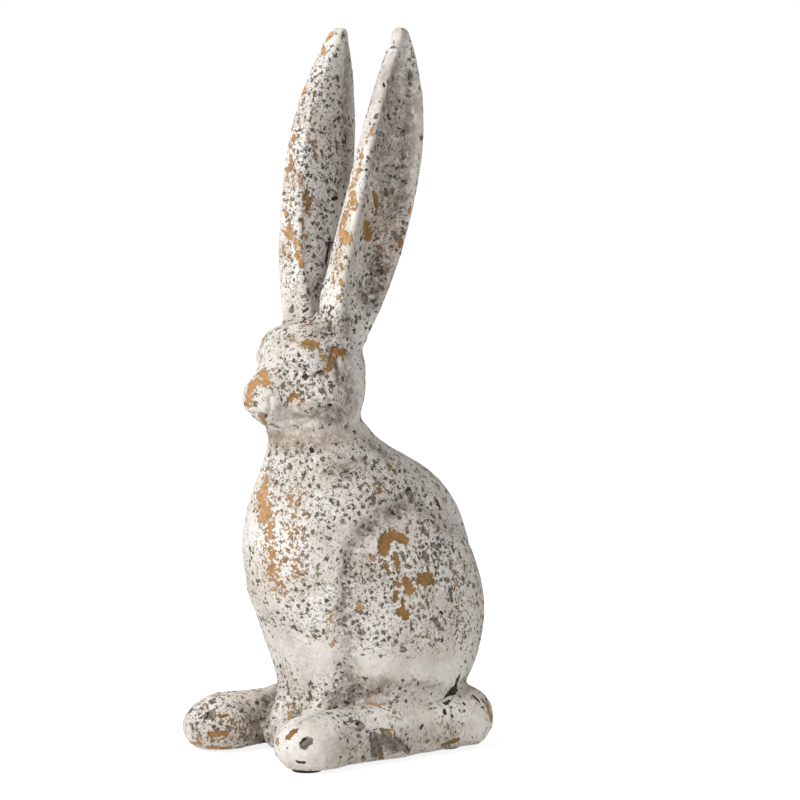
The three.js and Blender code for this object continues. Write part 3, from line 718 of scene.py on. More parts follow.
# Grey undercoat shows through here:
GREY = {
    "patch": [(375, 738, 377, 753, 6.5), (385, 738, 397, 746, 7.5), (402, 746, 409, 752, 2.6, 1.3)],
    "back": [(410, 492, 413, 498, 3.8, 1.3), (424, 531, 427, 533, 2.4, 1.3), (434, 545, 437, 547, 2.6, 1.2)],
    "side": [(425, 553, 427, 560, 2.4, 1.3), (402, 553, 404, 558, 2, 1.2), (406, 566, 410, 567, 2, 1.2)],
    "nape": [(374, 496, 374, 502, 2.3, 1.2)],
    "near_ear_hollow": [(364, 296, 365, 299, 3, 1.3), (393, 233, 398, 238, 3.2, 0.9)],
    "near_ear_tip": [(410, 72, 411, 76, 2.3, 1.3), (410, 84, 411, 85, 1.6, 1.3)],
    "toes": [(209, 717, 212, 712, 3, 1.3), (304, 745, 308, 741, 3.8, 1.4)],
    "instep": [(360, 725, 362, 725, 2.8, 1.4)],
    "far_ear": [(291, 310, 292, 310, 2.8, 1.3)],
    "haunch": [(436, 620, 440, 628, 2.4, 1.2), (450, 590, 452, 600, 2.4, 1.1)],
    "temple": [(335, 361, 339, 373, 1.7, 1.3)],
    "eye": [(322, 372, 327, 376, 2)],
}

# Black holes and cracks are here, with painted shadow lines along the upper edges of worn patches (eye hook,
# crown, haunch, foot patch):
DARK = {
    "heel": [
        (446, 702, 451, 693, 3.4), (452, 692, 456, 688, 3.6), (456, 686, 459, 677, 2.3),
        (445, 710, 445, 713, 1.9), (452, 715, 453, 717, 1.4), (464, 703, 465, 704, 1.5),
        (473, 695, 480, 702, 1.3), (482, 699, 487, 705, 1.2),
    ],
    "back": [(437, 500, 440, 506, 2.4), (406, 490, 411, 488, 1.2)],
    "far_ear": [(330, 242, 326, 262, 2, 0.85), (333, 199, 337, 198, 2.2), (303, 312, 308, 308, 1.4)],
    "eye": [(305.5, 376.5, 305.5, 377, 3.2, 1.05), (316, 373, 321, 371, 1.7, 0.7)],
    "chest": [(311, 449, 312, 451, 2.2)],
    "toes": [
        (297, 762, 304, 763, 1.6), (300, 743, 305, 738, 1.3), (287, 748, 287, 748, 1.2),
        (206, 718, 208, 712, 1),
    ],
    "foot": [(421, 728, 423, 725, 1.4)],
    "instep": [(357, 724, 359, 722, 1.4)],
    "eye_hook": [
        (331, 353, 334, 347, 1.6, 0.6), (334, 347, 341, 345, 1.6, 0.6), (341, 345, 346, 350, 1.7, 0.6),
        (346, 350, 349, 354, 1.6, 0.6),
    ],
    "crown": [(301, 323, 305, 318, 1.1), (305, 318, 311, 320, 1.1)],
    "haunch": [
        (377, 550, 379, 538, 1.5, 0.62), (379, 538, 386, 530, 1.6, 0.62), (386, 530, 394, 527, 1.4, 0.55),
    ],
    "patch": [
        (370, 732, 371, 747, 1.7, 0.65), (371, 731, 379, 728, 1.5, 0.6), (396, 737, 408, 747, 1.5, 0.62),
        (408, 748, 410, 755, 1.6, 0.65),
    ],
    "near_ear_rim": [(388, 115, 390, 119, 1.6), (383, 83, 384, 86, 1.3)],
    "jaw": [(329, 405, 331, 405, 1.5)],
    "nape": [(354, 330, 355, 330, 1.4)],
    "side": [(441, 612, 443, 614, 1.6)],
}

# Pits crowd here:
CROWDED = {
    "eye": [(292, 372, 318, 388, 14, 1.25)],
    "brow": [(285, 335, 325, 350, 14)],
    "cheek": [(285, 392, 312, 396, 9)],
    "crown": [(300, 322, 345, 322, 10)],
    "shoulder": [(320, 470, 400, 490, 22, 1.1)],
    "haunch": [(370, 600, 440, 560, 30, 1.1), (380, 640, 460, 620, 16)],
    "far_ear": [(336, 130, 314, 290, 13, 1.3), (318, 70, 306, 200, 14, 1.2), (290, 200, 294, 300, 12, 0.9)],
    "near_ear_hollow": [
        (388, 150, 372, 290, 15, 1.3), (404, 180, 398, 245, 10, 1.2), (360, 280, 352, 325, 14, 1.2),
    ],
    "far_foot": [(205, 710, 262, 730, 18, 1.3)],
    "chest": [(272, 470, 310, 480, 14)],
    "paws": [(272, 690, 300, 706, 12)],
    "foot": [(345, 706, 360, 735, 9)],
    "body": [(330, 520, 300, 620, 18, 0.45)],
    "back": [(420, 490, 465, 600, 14, 0.8)],
}

# Few pits here:
UNPITTED = {
    "neck": [(268, 437, 345, 436, 6)],
    "chest": [(258, 490, 278, 600, 16, 0.62)],
    "leg": [(290, 645, 318, 660, 16)],
    "haunch": [(370, 665, 450, 668, 15)],
    "toes": [(298, 745, 322, 748, 20, 1.4)],
    "cheek": [(348, 365, 354, 395, 8)],
    "near_ear_rim": [(390, 60, 372, 110, 6), (356, 200, 350, 270, 3.5), (416, 80, 410, 220, 4)],
    "jaw": [(285, 415, 310, 422, 6)],
    "foot": [(410, 715, 440, 720, 9)],
    "heel": [(470, 730, 480, 720, 8)],
    "far_ear": [(345, 60, 352, 110, 5)],
}

# Grey smudges here, partly dirt and partly painted shade: in creases, under the jaw, and on sides turned
# from the lamp, such as the ear hollows, the far ear's inner edge and the far foot's end:
SMUDGED_AND_SHADED = {
    "jaw": [(316, 413, 340, 414, 9, 1.7), (282, 413, 316, 417, 8, 0.8)],
    "cheek": [(335, 386, 342, 391, 6)],
    "shoulder": [(338, 470, 356, 460, 11, 1.1)],
    "haunch": [(362, 534, 402, 505, 8, 1.15), (352, 548, 345, 625, 8)],
    "leg": [(348, 640, 350, 690, 9, 0.8)],
    "foreleg": [(283, 640, 318, 675, 16, 0.3)],
    "foot": [(330, 697, 385, 684, 7, 1.2), (385, 684, 440, 686, 4, 0.8), (335, 750, 445, 738, 10, 0.8)],
    "far_foot": [(244, 712, 262, 728, 10), (200, 732, 260, 735, 10, 0.9)],
    "far_ear": [(333, 240, 318, 300, 6, 0.8), (346, 60, 346, 180, 8)],
    "back": [(415, 500, 450, 530, 10, 0.7)],
    "near_ear_hollow": [(392, 80, 372, 290, 17, 1.1), (412, 80, 392, 270, 10, 0.9)],
    "toes": [(300, 722, 320, 714, 6, 0.5)],
    "eye": [(318, 374, 322, 372, 5)],
    "crown": [(320, 330, 345, 330, 10, 0.6)],
    "paws": [(268, 700, 270, 740, 9)],
    "nape": [(362, 440, 385, 455, 8, 1.1)],
    "neck": [(270, 440, 345, 440, 9, 1.15)],
    "temple": [(338, 360, 350, 402, 12, 1.4)],
}


def placed(groups):
    """Marked places (wear, smudges, painted shade) as short strokes on the statue: two ends, a radius in
    millimetres and a strength.
    """
    rows = [row for group in groups.values() for row in group]
    counts = [2 + int(math.dist(row[:2], row[2:4]) // ROUTE_STEP) for row in rows]
    routes = [np.linspace(row[:2], row[2:4], count) for row, count in zip(rows, counts)]
    found = np.split(on_surface(np.concatenate(routes)), np.cumsum(counts)[:-1])
    strokes = []
    for row, route in zip(rows, found):
        radius, strength = (*row[4:], 1)[:2]
        strokes += [(a, b, radius * MILLIMETRES_A_PIXEL, strength) for a, b in zip(route[:-1], route[1:])]
    return strokes


def nearness(points, strokes):
    """The strongest stroke at each point. Strokes fade from their middle line to 0 at twice their radius."""
    most = np.zeros(len(points))
    for a, b, radius, strength in strokes:
        near = np.clip(1 - segment_distance(points, a, b) / (2 * radius), 0, 1)
        most = np.maximum(most, near * strength)
    return most


def segment_distance(points, a, b):
    along = b - a
    t = np.clip(((points - a) @ along) / max(along @ along, TINY), 0, 1)
    return np.linalg.norm(points - a - t[:, None] * along, axis=1)


def on_left(points):
    """Points of the right side moved to their mirrored places on the left."""
    return points * np.where(points[:, :1] > 0, 1, (-1, 1, 1))


def relief(points, drawn):
    """How far drawn lines of the left side, and their mirrored twins, stand proud at each point."""
    place = on_left(points)
    stands = np.zeros(len(points))
    for width, height, route in drawn:
        away = np.min([segment_distance(place, a, b) for a, b in zip(route[:-1], route[1:])], 0)
        stands += height * np.exp(-((away / width) ** 2))
    return stands


OCHRE_PLACES, UMBER_PLACES = placed(OCHRE), placed(UMBER)
GREY_PLACES, DARK_PLACES = placed(GREY), placed(DARK)
CROWDED_PLACES, UNPITTED_PLACES, SMUDGED_AND_SHADED_PLACES = placed(CROWDED), placed(UNPITTED), placed(SMUDGED_AND_SHADED)

# Drawn lines, the same on both sides: width and height in millimetres, and pixels of the photograph.
# A line that is pressed in has a height below zero. The ear's line is drawn on the far ear.
FACE_LINES = {
    "eyeball": (4.2, 1.6, [(305.5, 376), (305.5, 376)]),
    "upper_lid": (1.0, -1.5, [(296, 376), (299, 371), (305, 368.5), (311, 370), (315, 375)]),
    "lower_lid": (1.0, -0.9, [(296, 376), (301, 381), (307, 382.5), (312, 380), (315, 375)]),
    "brow_ridge": (3.6, 1.5, [(292, 363), (300, 360), (309, 361), (317, 367)]),
    "mouth": (1.4, -1.8, [(257, 414), (263, 415), (268.5, 413), (270.5, 406), (270, 398)]),
    "nostril": (1.2, -1.4, [(253, 397), (257, 395)]),
    "jaw": (2.0, -1.4, [(268, 427), (283, 430), (299, 427), (313, 421)]),
    "jaw_fold": (1.5, -0.8, [(279, 421), (294, 419.5), (309, 418)]),
    "cheek_fold": (1.8, -1.2, [(322, 376), (326, 386), (330, 399)]),
    "temple_fold": (1.8, -1.2, [(338, 358), (339, 370), (338, 381)]),
    "ear_fold": (2.0, -1.0, [(311, 312), (322, 303), (329, 292)]),
}
HAUNCH_LINES = {
    "ridge": (7, 1.3, [(356, 605), (358, 580), (365, 557), (379, 538), (395, 526), (415, 518)]),
    "crease": (5, -2.3, [(347, 620), (346, 580), (353, 552), (368, 530), (385, 514), (405, 504),
                         (425, 502)]),
}
EAR_LINES = {
    "inner_edge": (6, -1.4, [(336, 42), (328, 60), (318, 92), (312, 120), (307, 150), (304, 190), (307, 230),
                             (307, 270)]),
}


def routed(drawn, side=1):
    """Drawn lines, with their places on the statue instead of their pixels."""
    return [(width, height, on_surface(pixels) * (side, 1, 1)) for width, height, pixels in drawn.values()]


FACE_RELIEF, HAUNCH_RELIEF, EAR_RELIEF = routed(FACE_LINES), routed(HAUNCH_LINES), routed(EAR_LINES, side=-1)

# Heights of the face's middle, how far it reaches up and down, and heights of the ear roots and the feet
FACE_HEIGHT, FACE_REACH = 258, 60
EAR_FOOT, FOOT_TOP = 318, 60


def sculpted(points):
    """How far the features of face, ears and haunch stand proud of the clay, in millimetres."""
    stands = np.zeros(len(points))
    height = points[:, 2]
    face, ear = np.abs(height - FACE_HEIGHT) < FACE_REACH, height > EAR_FOOT
    side = ~face & ~ear & (height > FOOT_TOP)
    for here, drawn in ((face, FACE_RELIEF), (ear, EAR_RELIEF), (side, HAUNCH_RELIEF)):
        stands[here] = relief(points[here], drawn)
    return stands


OUTER_SKIN = 0.3
# How far out, in millimetres, the clay round a point is searched to find hollows and creases, which get
# painted shade
CAVITY_REACH = 7
SHARP_ANGLE = 62

# Clay's height and size in millimetres, and its seed
CLAY_LUMPS, CLAY_GRAIN = (0.5, 14, 111), (0.22, 3.5, 121)

# Depth in millimetres where paint is gone, and the values of its field where that starts and is full
WORN_DEPTHS = {
    "ochre": (0.45, 0.6, 1.0),
    "grey": (0.6, 0.46, 0.62),
    "dark": (1.0, 0.4, 0.7),
    "holes": (0.35, 0.45, 0.9),
}

# The outward direction's share along the view where a point starts to be hidden, and where it fully is
HIDDEN_FROM, HIDDEN_FULLY = -0.25, 0.15

# Patches of noise: size in millimetres, seed, and the values of the noise where they start and are whole
OCHRE_BEHIND, OCHRE_BREAKS = (46, 31, -0.1, 0.35), (17, 41, -0.1, 0.45)
CLEAN_BEHIND, CROWDED_BEHIND = (40, 71, -0.05, 0.35), (32, 131, 0.0, 0.4)
GREY_BEHIND, PITTED_CLOUDS = (14, 61, 0.30, 0.55), (26, 81, -0.4, 0.4)


def paint(place, outward, cavity):
    """What the paint shows at each point: the named places, painted shade in hollows and creases, and
    patches of noise on the hidden side.
    """
    hidden = smooth(outward @ FORWARD, HIDDEN_FROM, HIDDEN_FULLY)
    ragged = 0.5 * layered(place, 6, 11, 3) + 0.35 * layered(place, 2.6, 14, 2)
    ochre_behind = 1.1 * hidden * patches(place, *OCHRE_BEHIND) * patches(place, *OCHRE_BREAKS)
    clean_behind = 0.9 * hidden * patches(place, *CLEAN_BEHIND)
    clean = np.maximum(nearness(place, UNPITTED_PLACES), clean_behind)
    crowded = np.maximum(nearness(place, CROWDED_PLACES), hidden * patches(place, *CROWDED_BEHIND))
    pitted = np.clip(1.15 - 1.5 * clean, 0, 1) * (0.36 + 0.34 * patches(place, *PITTED_CLOUDS))
    pitted += 0.55 * crowded
    grey = np.maximum(nearness(place, GREY_PLACES), 0.55 * hidden * patches(place, *GREY_BEHIND))
    # Grey smudges, partly dirt and partly painted shade on creases and on sides turned from the lamp
    smudge_and_shade = nearness(place, SMUDGED_AND_SHADED_PLACES) * (0.8 + 0.5 * layered(place, 6, 101, 2))
    return {
        "ochre": np.maximum(nearness(place, OCHRE_PLACES), ochre_behind),
        "umber": nearness(place, UMBER_PLACES),
        "grey": grey + 0.3 * ragged,
        "dark": nearness(place, DARK_PLACES) + 0.25 * ragged,
        "pitted": pitted,
        "holes": noise(place, 2.8, 91) + 0.5 * noise(place, 1.6, 92) - 0.7 * (1 - pitted),
        # Painted shade in hollows and creases from the cavity, together with the grey smudges
        "grime_and_shade": np.clip(cavity * 1.1 + smudge_and_shade, 0, 1),
    }


def dress(piece):
    """Works the surface of a casting, and notes at each knot what the paint shows there."""
    mesh = piece.data
    points = np.empty(len(mesh.vertices) * 3, np.float32)
    mesh.vertices.foreach_get("co", points)
    points = points.reshape(-1, 3).astype(float) / MM
    skin = np.abs(everything(*points.T)) < OUTER_SKIN
    place = points[skin]
    outward = slope_of(everything, place)
    # How shut in by nearby clay each point is; the paint turns this into painted shade in hollows and
    # creases
    cavity = np.clip(1 - everything(*(place + outward * CAVITY_REACH).T) / CAVITY_REACH, 0, 1)
    shown = paint(place, outward, cavity)

    stands = sculpted(place)
    for height, size, seed in (CLAY_LUMPS, CLAY_GRAIN):
        stands += height * layered(place, size, seed, 2)
    for name, (depth, start, end) in WORN_DEPTHS.items():
        stands -= depth * smooth(shown[name], start, end)
    points[skin] = place + outward * stands[:, None]
    mesh.vertices.foreach_set("co", (points * MM).astype(np.float32).ravel())
    for name, value in shown.items():
        whole = np.zeros(len(points), np.float32)
        whole[skin] = value
        mesh.attributes.new(name, "FLOAT", "POINT").data.foreach_set("value", whole)
    mesh.update()
    mesh.shade_smooth()
    mesh.set_sharp_from_angle(angle=math.radians(SHARP_ANGLE))


class Nodes:
    """A short way to write the node tree of a material or of the world."""

    def __init__(self, owner):
        self.owner = owner
        owner.use_nodes = True
        self.tree = owner.node_tree
        self.tree.nodes.clear()

    def add(self, kind, _out=0, _in=None, **settings):
        node = self.tree.nodes.new("ShaderNode" + kind)
        for key, value in settings.items():
            setattr(node, key, value)
        for socket, value in (_in or {}).items():
            if isinstance(value, bpy.types.NodeSocket):
                self.tree.links.new(value, node.inputs[socket])
            else:
                node.inputs[socket].default_value = value
        return node.outputs[_out]

    def attribute(self, name):
        return self.add("Attribute", _out="Fac", attribute_name=name)

    def place(self):
        return self.add("TexCoord", _out="Object")

    def ray(self, kind):
        return self.add("LightPath", _out="Is %s Ray" % kind)

    def noise(self, place, scale, detail=2.0, roughness=0.5, distortion=0.0):
        sockets = {"Scale": scale, "Detail": detail, "Roughness": roughness, "Distortion": distortion}
        return self.add("TexNoise", _in={"Vector": place, **sockets})

    def waves(self, place, scale, direction):
        sockets = {"Vector": place, "Scale": scale, "Distortion": 0.6}
        return self.add("TexWave", _out="Fac", _in=sockets, bands_direction=direction)

    def math(self, operation, a, b):
        return self.add("Math", _in={0: a, 1: b}, operation=operation)

    plus, minus = partialmethod(math, "ADD"), partialmethod(math, "SUBTRACT")
    times, most = partialmethod(math, "MULTIPLY"), partialmethod(math, "MAXIMUM")

    def ranged(self, value, low, high, start=0.0, end=1.0, **settings):
        """A number that goes from low to high while the value goes from start to end."""
        return self.add("MapRange", _in={0: value, 1: start, 2: end, 3: low, 4: high}, **settings)

    def step(self, value, start, end):
        return self.ranged(value, 0.0, 1.0, start, end, interpolation_type="SMOOTHSTEP")

    def spots(self, place, scale, density, least, most):
        """Round spots, one in each cell where chance allows it, with radii as shares of a cell."""
        away = self.add("TexVoronoi", _out="Distance", _in={"Vector": place, "Scale": scale})
        chance = self.add("SeparateColor", _in={0: away.node.outputs["Color"]})
        kept = self.step(self.plus(chance, density), 0.95, 1.05)
        size = self.ranged(chance.node.outputs[1], least, most)
        return self.step(self.minus(self.times(size, kept), away), -0.02, 0.05)

    def mix(self, factor, a, b):
        return self.add("Mix", _out=2, _in={0: factor, 6: a, 7: b}, data_type="RGBA")

    def finish(self, colour, roughness, height=None, distance=0.0, **constants):
        sockets = {"Base Color": colour, "Roughness": roughness, **constants}
        if height is not None:
            bump = {"Height": height, "Distance": distance, "Strength": 1.0}
            sockets["Normal"] = self.add("Bump", _in=bump)
        self.show(self.add("BsdfPrincipled", _in=sockets))
        return self.owner

    def show(self, shader, kind="Material"):
        output = self.tree.nodes.new("ShaderNodeOutput" + kind)
        self.tree.links.new(shader, output.inputs["Surface"])


def tone(*shown):
    """A colour written as the picture shows it, from 0 to 255, as the linear light that a shader takes."""
    linear = [c / 255 / 12.92 if c / 255 <= 0.04045 else ((c / 255 + 0.055) / 1.055) ** 2.4 for c in shown]
    return (*linear, 1.0)


def coat_material():
    """Chalky white paint over ochre and grey, pitted, chipped and smudged, with painted shade in hollows,
    creases and on sides turned from the lamp, and painted shadow lines along the edges of worn patches.
    """
    n = Nodes(bpy.data.materials.new("chipped_coat"))
    place = n.place()
    pitted, grime_and_shade, worn = n.attribute("pitted"), n.attribute("grime_and_shade"), n.attribute("ochre")

    clouds = n.noise(place, 34, 3, 0.55)
    mottle = n.noise(place, 420, 3, 0.6)
    streaks = n.noise(place, 130, 4, 0.65, 0.6)
    edge = n.noise(place, 900, 2, 0.6)
    white = n.mix(n.step(clouds, 0.38, 0.66), tone(241, 237, 231), tone(224, 215, 204))
    white = n.mix(n.times(n.step(streaks, 0.5, 0.72), 0.55), white, tone(204, 193, 181))
    white = n.mix(n.times(n.step(mottle, 0.48, 0.76), 0.5), white, tone(186, 174, 162))
    # Painted shade, partly dirt: hollows, creases and the marked shaded sides darken towards a grey-brown,
    # warmer where the umber lies
    dirt_and_shade = n.times(grime_and_shade, n.step(n.noise(place, 210, 4, 0.7), 0.2, 0.6))
    dust_and_shade_colour = n.mix(n.step(n.attribute("umber"), 0.2, 0.7), tone(125, 110, 97), tone(172, 148, 128))
    white = n.mix(n.times(dirt_and_shade, 0.85), white, dust_and_shade_colour)

    rust = n.mix(n.step(n.noise(place, 150, 3, 0.6), 0.35, 0.68), tone(212, 164, 110), tone(180, 138, 92))
    umber = n.mix(n.step(n.noise(place, 90, 2, 0.5), 0.42, 0.6), tone(160, 117, 70), tone(128, 103, 54))
    rust = n.mix(n.step(n.attribute("umber"), 0.2, 0.6), rust, umber)
    rust = n.mix(n.times(n.step(mottle, 0.42, 0.7), 0.5), rust, tone(120, 88, 58))
    under = n.mix(n.step(n.noise(place, 240, 3, 0.6), 0.36, 0.62), tone(158, 149, 138), tone(104, 95, 86))
    black = n.mix(n.step(mottle, 0.4, 0.7), tone(50, 45, 42), tone(84, 78, 72))
    hollow = n.mix(n.step(n.noise(place, 90, 2, 0.5), 0.4, 0.64), tone(58, 49, 42), tone(104, 88, 70))
    hollow = n.mix(n.step(worn, 0.2, 0.5), hollow, tone(140, 103, 66))

    ripple = n.times(n.minus(edge, 0.5), 0.8)
    fields = {name: n.plus(n.attribute(name), ripple) for name in ("grey", "dark", "holes")}
    flaking = n.noise(place, 420, 3, 0.62, 0.3)
    flaking = n.minus(flaking, n.minus(0.8, n.times(worn, 0.52)))
    ochre_bare = n.step(flaking, 0.0, 0.02)
    grey_bare = n.step(fields["grey"], 0.50, 0.55)
    # Dark holes and cracks, and painted shadow lines along the upper edges of worn patches
    dark_holes_and_shadow_lines = n.step(fields["dark"], 0.46, 0.54)
    # Painted shadow: a dark brown line round the edges of ochre flakes and grey patches, for the shadow of
    # the coat's thickness
    rim = n.minus(n.step(flaking, -0.03, -0.005), n.step(flaking, 0.0, 0.03))
    grey_edge_shadow = n.minus(n.step(fields["grey"], 0.42, 0.50), n.step(fields["grey"], 0.55, 0.68))
    rim = n.times(n.most(rim, grey_edge_shadow), n.step(streaks, 0.4, 0.6))

    stirred = n.add("TexNoise", _out="Color", _in={"Vector": place, "Scale": 700.0, "Detail": 1.0})
    stirred = n.add("VectorMath", _in={0: stirred, 1: (0.5, 0.5, 0.5)}, operation="SUBTRACT")
    stirred = n.add("VectorMath", _in={0: stirred, "Scale": 0.0046}, operation="SCALE")
    stirred = n.add("VectorMath", _in={0: place, 1: stirred}, operation="ADD")
    small = n.spots(stirred, 500, pitted, 0.2, 0.44)
    medium = n.spots(stirred, 300, n.minus(n.times(pitted, 0.95), 0.1), 0.2, 0.53)
    large = n.spots(stirred, 120, n.times(pitted, 0.5), 0.1, 0.28)
    pit = n.most(n.times(small, 0.65), n.most(medium, large))
    pit = n.most(pit, n.step(fields["holes"], 0.6, 0.85))

    colour = n.mix(n.times(pit, 0.92), white, hollow)
    speckled = n.times(ochre_bare, n.minus(1.0, n.times(small, 0.4)))
    colour = n.mix(speckled, colour, rust)
    # The painted shadow line along the edges of worn patches
    colour = n.mix(n.times(rim, 0.7), colour, tone(92, 74, 56))
    colour = n.mix(grey_bare, colour, under)
    colour = n.mix(dark_holes_and_shadow_lines, colour, black)

    bare = n.most(ochre_bare, n.most(grey_bare, dark_holes_and_shadow_lines))
    depth = n.times(pit, n.minus(1.0, bare))
    height = n.minus(n.times(mottle, 0.4), depth)
    height = n.minus(height, n.times(bare, 0.9))
    height = n.plus(height, n.times(streaks, 0.6))
    roughness = n.ranged(mottle, 0.82, 0.96, 0.3, 0.7)
    return n.finish(colour, roughness, height, 0.0006, **{"Specular IOR Level": 0.25})


def woven_material():
    """Open-weave tape soaked in binder."""
    n = Nodes(bpy.data.materials.new("soaked_tape"))
    place = n.place()
    weave = n.times(n.waves(place, 180, "X"), n.waves(place, 180, "Z"))
    stain = n.noise(place, 60, 3, 0.6)
    colour = n.mix(weave, tone(150, 138, 112), tone(206, 196, 172))
    colour = n.mix(n.step(stain, 0.5, 0.7), colour, tone(170, 148, 108))
    return n.finish(colour, n.ranged(weave, 0.6, 0.9), weave, 0.0003)


def cast_material():
    """Bare, unpainted casting."""
    n = Nodes(bpy.data.materials.new("bare_casting"))
    place = n.place()
    grains = n.noise(place, 600, 4, 0.7)
    holes = n.step(n.noise(place, 260, 2, 0.5), 0.66, 0.7)
    colour = n.mix(n.noise(place, 50, 3, 0.6), tone(176, 168, 156), tone(206, 199, 188))
    colour = n.mix(n.times(holes, 0.8), colour, tone(96, 90, 82))
    height = n.minus(n.times(grains, 0.5), holes)
    return n.finish(colour, n.ranged(grains, 0.85, 1.0), height, 0.0004)


def rubber_material():
    """Black rubber with a fine moulded grain."""
    n = Nodes(bpy.data.materials.new("black_rubber"))
    place = n.place()
    grain = n.noise(place, 1500, 2, 0.6)
    colour = n.mix(n.noise(place, 90, 3, 0.6), tone(24, 23, 23), tone(44, 42, 41))
    return n.finish(colour, n.ranged(grain, 0.55, 0.8), grain, 0.0001)


def steel_material():
    """Drawn steel rod, dulled, with draw lines along it."""
    n = Nodes(bpy.data.materials.new("drawn_steel"))
    place = n.place()
    squeezed = n.add("Mapping", _in={"Vector": place, "Scale": (1.0, 1.0, 0.05)})
    lines_along = n.noise(squeezed, 2600, 3, 0.6)
    spots = n.noise(place, 150, 4, 0.65)
    colour = n.mix(lines_along, tone(150, 151, 153), tone(188, 189, 191))
    colour = n.mix(n.step(spots, 0.62, 0.72), colour, tone(120, 96, 76))
    roughness = n.ranged(spots, 0.28, 0.5, 0.3, 0.7)
    return n.finish(colour, roughness, lines_along, 0.00003, Metallic=1.0)


TAPE_INSET, TAPE_THICKNESS, TAPE_SHARP_ANGLE = 1.2, 1.4, 50
TAPE_ROWS, TAPE_COLUMNS = 90, 18
TAPE_SIDE = {"chest_seam_tape": -1, "back_seam_tape": 1}
TAPE_SEARCH, TAPE_HALVINGS = 120, 40
NECK_BEND = (120, 190)


def seam_tape(node):
    """A cloth tape that follows the lining of the torso from the base plate up to the mouth of the neck."""
    low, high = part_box(node)
    half, bottom, top = high.x / MM, low.z / MM, high.z / MM
    side = TAPE_SIDE[node]
    xs, zs = np.meshgrid(np.linspace(-half, half, TAPE_COLUMNS), np.linspace(bottom, top, TAPE_ROWS))
    xs, zs = xs.ravel(), zs.ravel()
    middle = BARREL[0][1] + (NECK_TOP[1] - BARREL[0][1]) * smooth(zs, *NECK_BEND)
    sheets = []
    for inset in (TAPE_INSET, TAPE_INSET + TAPE_THICKNESS):
        inner, outer = middle.copy(), middle + side * TAPE_SEARCH
        for _ in range(TAPE_HALVINGS):
            tried = (inner + outer) / 2
            within = lining(xs, tried, zs) + WALL + inset < 0
            inner, outer = np.where(within, tried, inner), np.where(within, outer, tried)
        sheets.append(np.stack([xs, inner, zs], 1))
    number = np.arange(len(xs)).reshape(TAPE_ROWS, TAPE_COLUMNS)
    quads = np.stack([number[:-1, :-1], number[:-1, 1:], number[1:, 1:], number[1:, :-1]], -1).reshape(-1, 4)
    loop = [*number[0], *number[1:, -1], *number[-1, -2::-1], *number[-2:0:-1, 0]]
    rim = np.array([(a, a + len(xs), b + len(xs), b) for a, b in zip(loop, loop[1:] + loop[:1])])
    faces = np.concatenate([quads, quads[:, ::-1] + len(xs), rim])
    faces = faces if side < 0 else faces[:, ::-1]
    tape = mesh_object(node + "_cloth", np.concatenate(sheets), faces)
    tape.data.shade_smooth()
    tape.data.set_sharp_from_angle(angle=math.radians(TAPE_SHARP_ANGLE))
    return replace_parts(tape, node)


ROOM_LIGHT = 0.30
FLOOR_REACH = 9000
LAMPS = {
    # name: metres to the right, up and towards the camera, side in metres, watts, height that it points at
    "key": ((-1.5, 1.3, 1.5), 1.3, 47, 0.25),
    "fill": ((1.2, 0.4, 1.9), 1.6, 2.5, 0.25),
    "low": ((0.6, -0.1, 0.6), 0.3, 0.55, 0.09),
    "back": ((-0.7, 1.7, -1.7), 1.8, 15, 0.25),
}


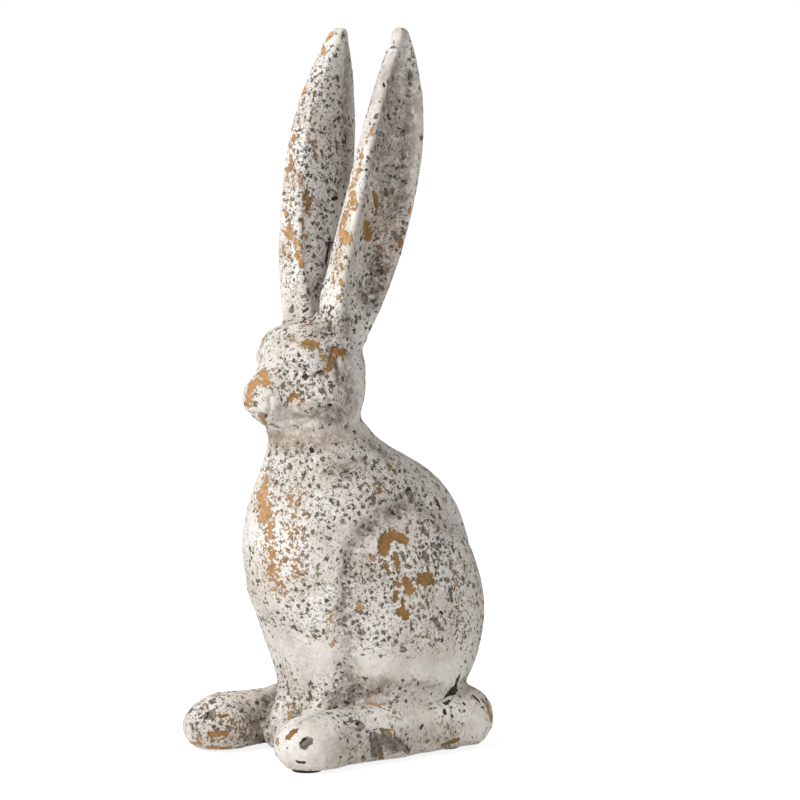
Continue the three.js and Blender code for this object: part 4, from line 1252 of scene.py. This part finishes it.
def stage():
    """A plain pale floor that keeps the statue's shadow, and a white world."""
    n = Nodes(bpy.data.materials.new("pale_floor"))
    seen = n.ray("Camera")
    background = n.most(n.most(seen, n.ray("Glossy")), n.ray("Transmission"))
    away = n.add("VectorMath", _out="Value", _in={0: n.place()}, operation="LENGTH")
    white = n.ranged(away, 0.86, 1.0, 0.1, 0.45)
    paper = n.mix(n.noise(n.place(), 40, 2, 0.5), (0.88, 0.87, 0.86, 1), (0.90, 0.89, 0.88, 1))
    diffuse = n.add("BsdfDiffuse", _in={"Color": n.mix(seen, paper, (0.32, 0.32, 0.32, 1))})
    glow = n.add("Emission", _in={"Color": (1, 1, 1, 1), "Strength": n.times(background, white)})
    n.show(n.add("AddShader", _in={0: diffuse, 1: glow}))
    corners = np.array([(-1, -1, 0), (1, -1, 0), (1, 1, 0), (-1, 1, 0)], float) * FLOOR_REACH
    floor = mesh_object("floor", corners, np.array([(0, 1, 2, 3)]))
    floor.data.materials.append(n.owner)

    world = bpy.context.scene.world = bpy.data.worlds.new("white_room")
    n = Nodes(world)
    light = n.ranged(n.most(n.ray("Camera"), n.ray("Transmission")), ROOM_LIGHT, 1.0)
    n.show(n.add("Background", _in={"Color": (1, 1, 1, 1), "Strength": light}), "World")


def lamps():
    middle = Vector((0, 0, EAR_TOP * MM / 2))
    level = Vector((FORWARD[0], FORWARD[1], 0)).normalized()
    for name, ((aside, rise, near), size, power, aim) in LAMPS.items():
        light = bpy.data.lights.new(name, "AREA")
        light.shape, light.size, light.energy = "DISK", size, power
        lamp = linked(name, light)
        lamp.location = middle + Vector(RIGHT) * aside + Vector((0, 0, rise)) - level * near
        lamp.rotation_mode = "QUATERNION"
        lamp.rotation_quaternion = (Vector((0, 0, aim)) - lamp.location).to_track_quat("-Z", "Y")


def camera():
    lens = bpy.data.cameras.new("camera")
    lens.sensor_width = SENSOR_WIDTH
    lens.lens = FOCAL_PIXELS / PICTURE_SIDE * SENSOR_WIDTH
    made = bpy.context.scene.camera = linked("camera", lens)
    basis = Matrix([RIGHT, UP, -FORWARD]).transposed()
    made.matrix_world = Matrix.Translation(Vector(EYE) * MM) @ basis.to_4x4()


camera()
stage()
lamps()

coat = coat_material()
castings = [*torso_halves(), neck_ring(), head_casting(), *ear_castings(), *hind_feet(), tail_casting()]
for casting in castings:
    dress(casting)
    casting.data.materials.clear()
    casting.data.materials.append(coat)
    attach(casting, "root")

woven = woven_material()
for tape_node in TAPE_SIDE:
    tape = seam_tape(tape_node)
    tape.data.materials.append(woven)
    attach(tape, "root")

rubber, steel, bare_cast = rubber_material(), steel_material(), cast_material()
for node_name, node_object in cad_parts.items():
    for ending, material in (("_pad", rubber), ("_plug", rubber), ("_rod", steel), ("_plate", bare_cast)):
        if node_name.endswith(ending):
            node_object.data.materials.clear()
            node_object.data.materials.append(material)

bpy.context.scene.view_settings.view_transform = "Standard"
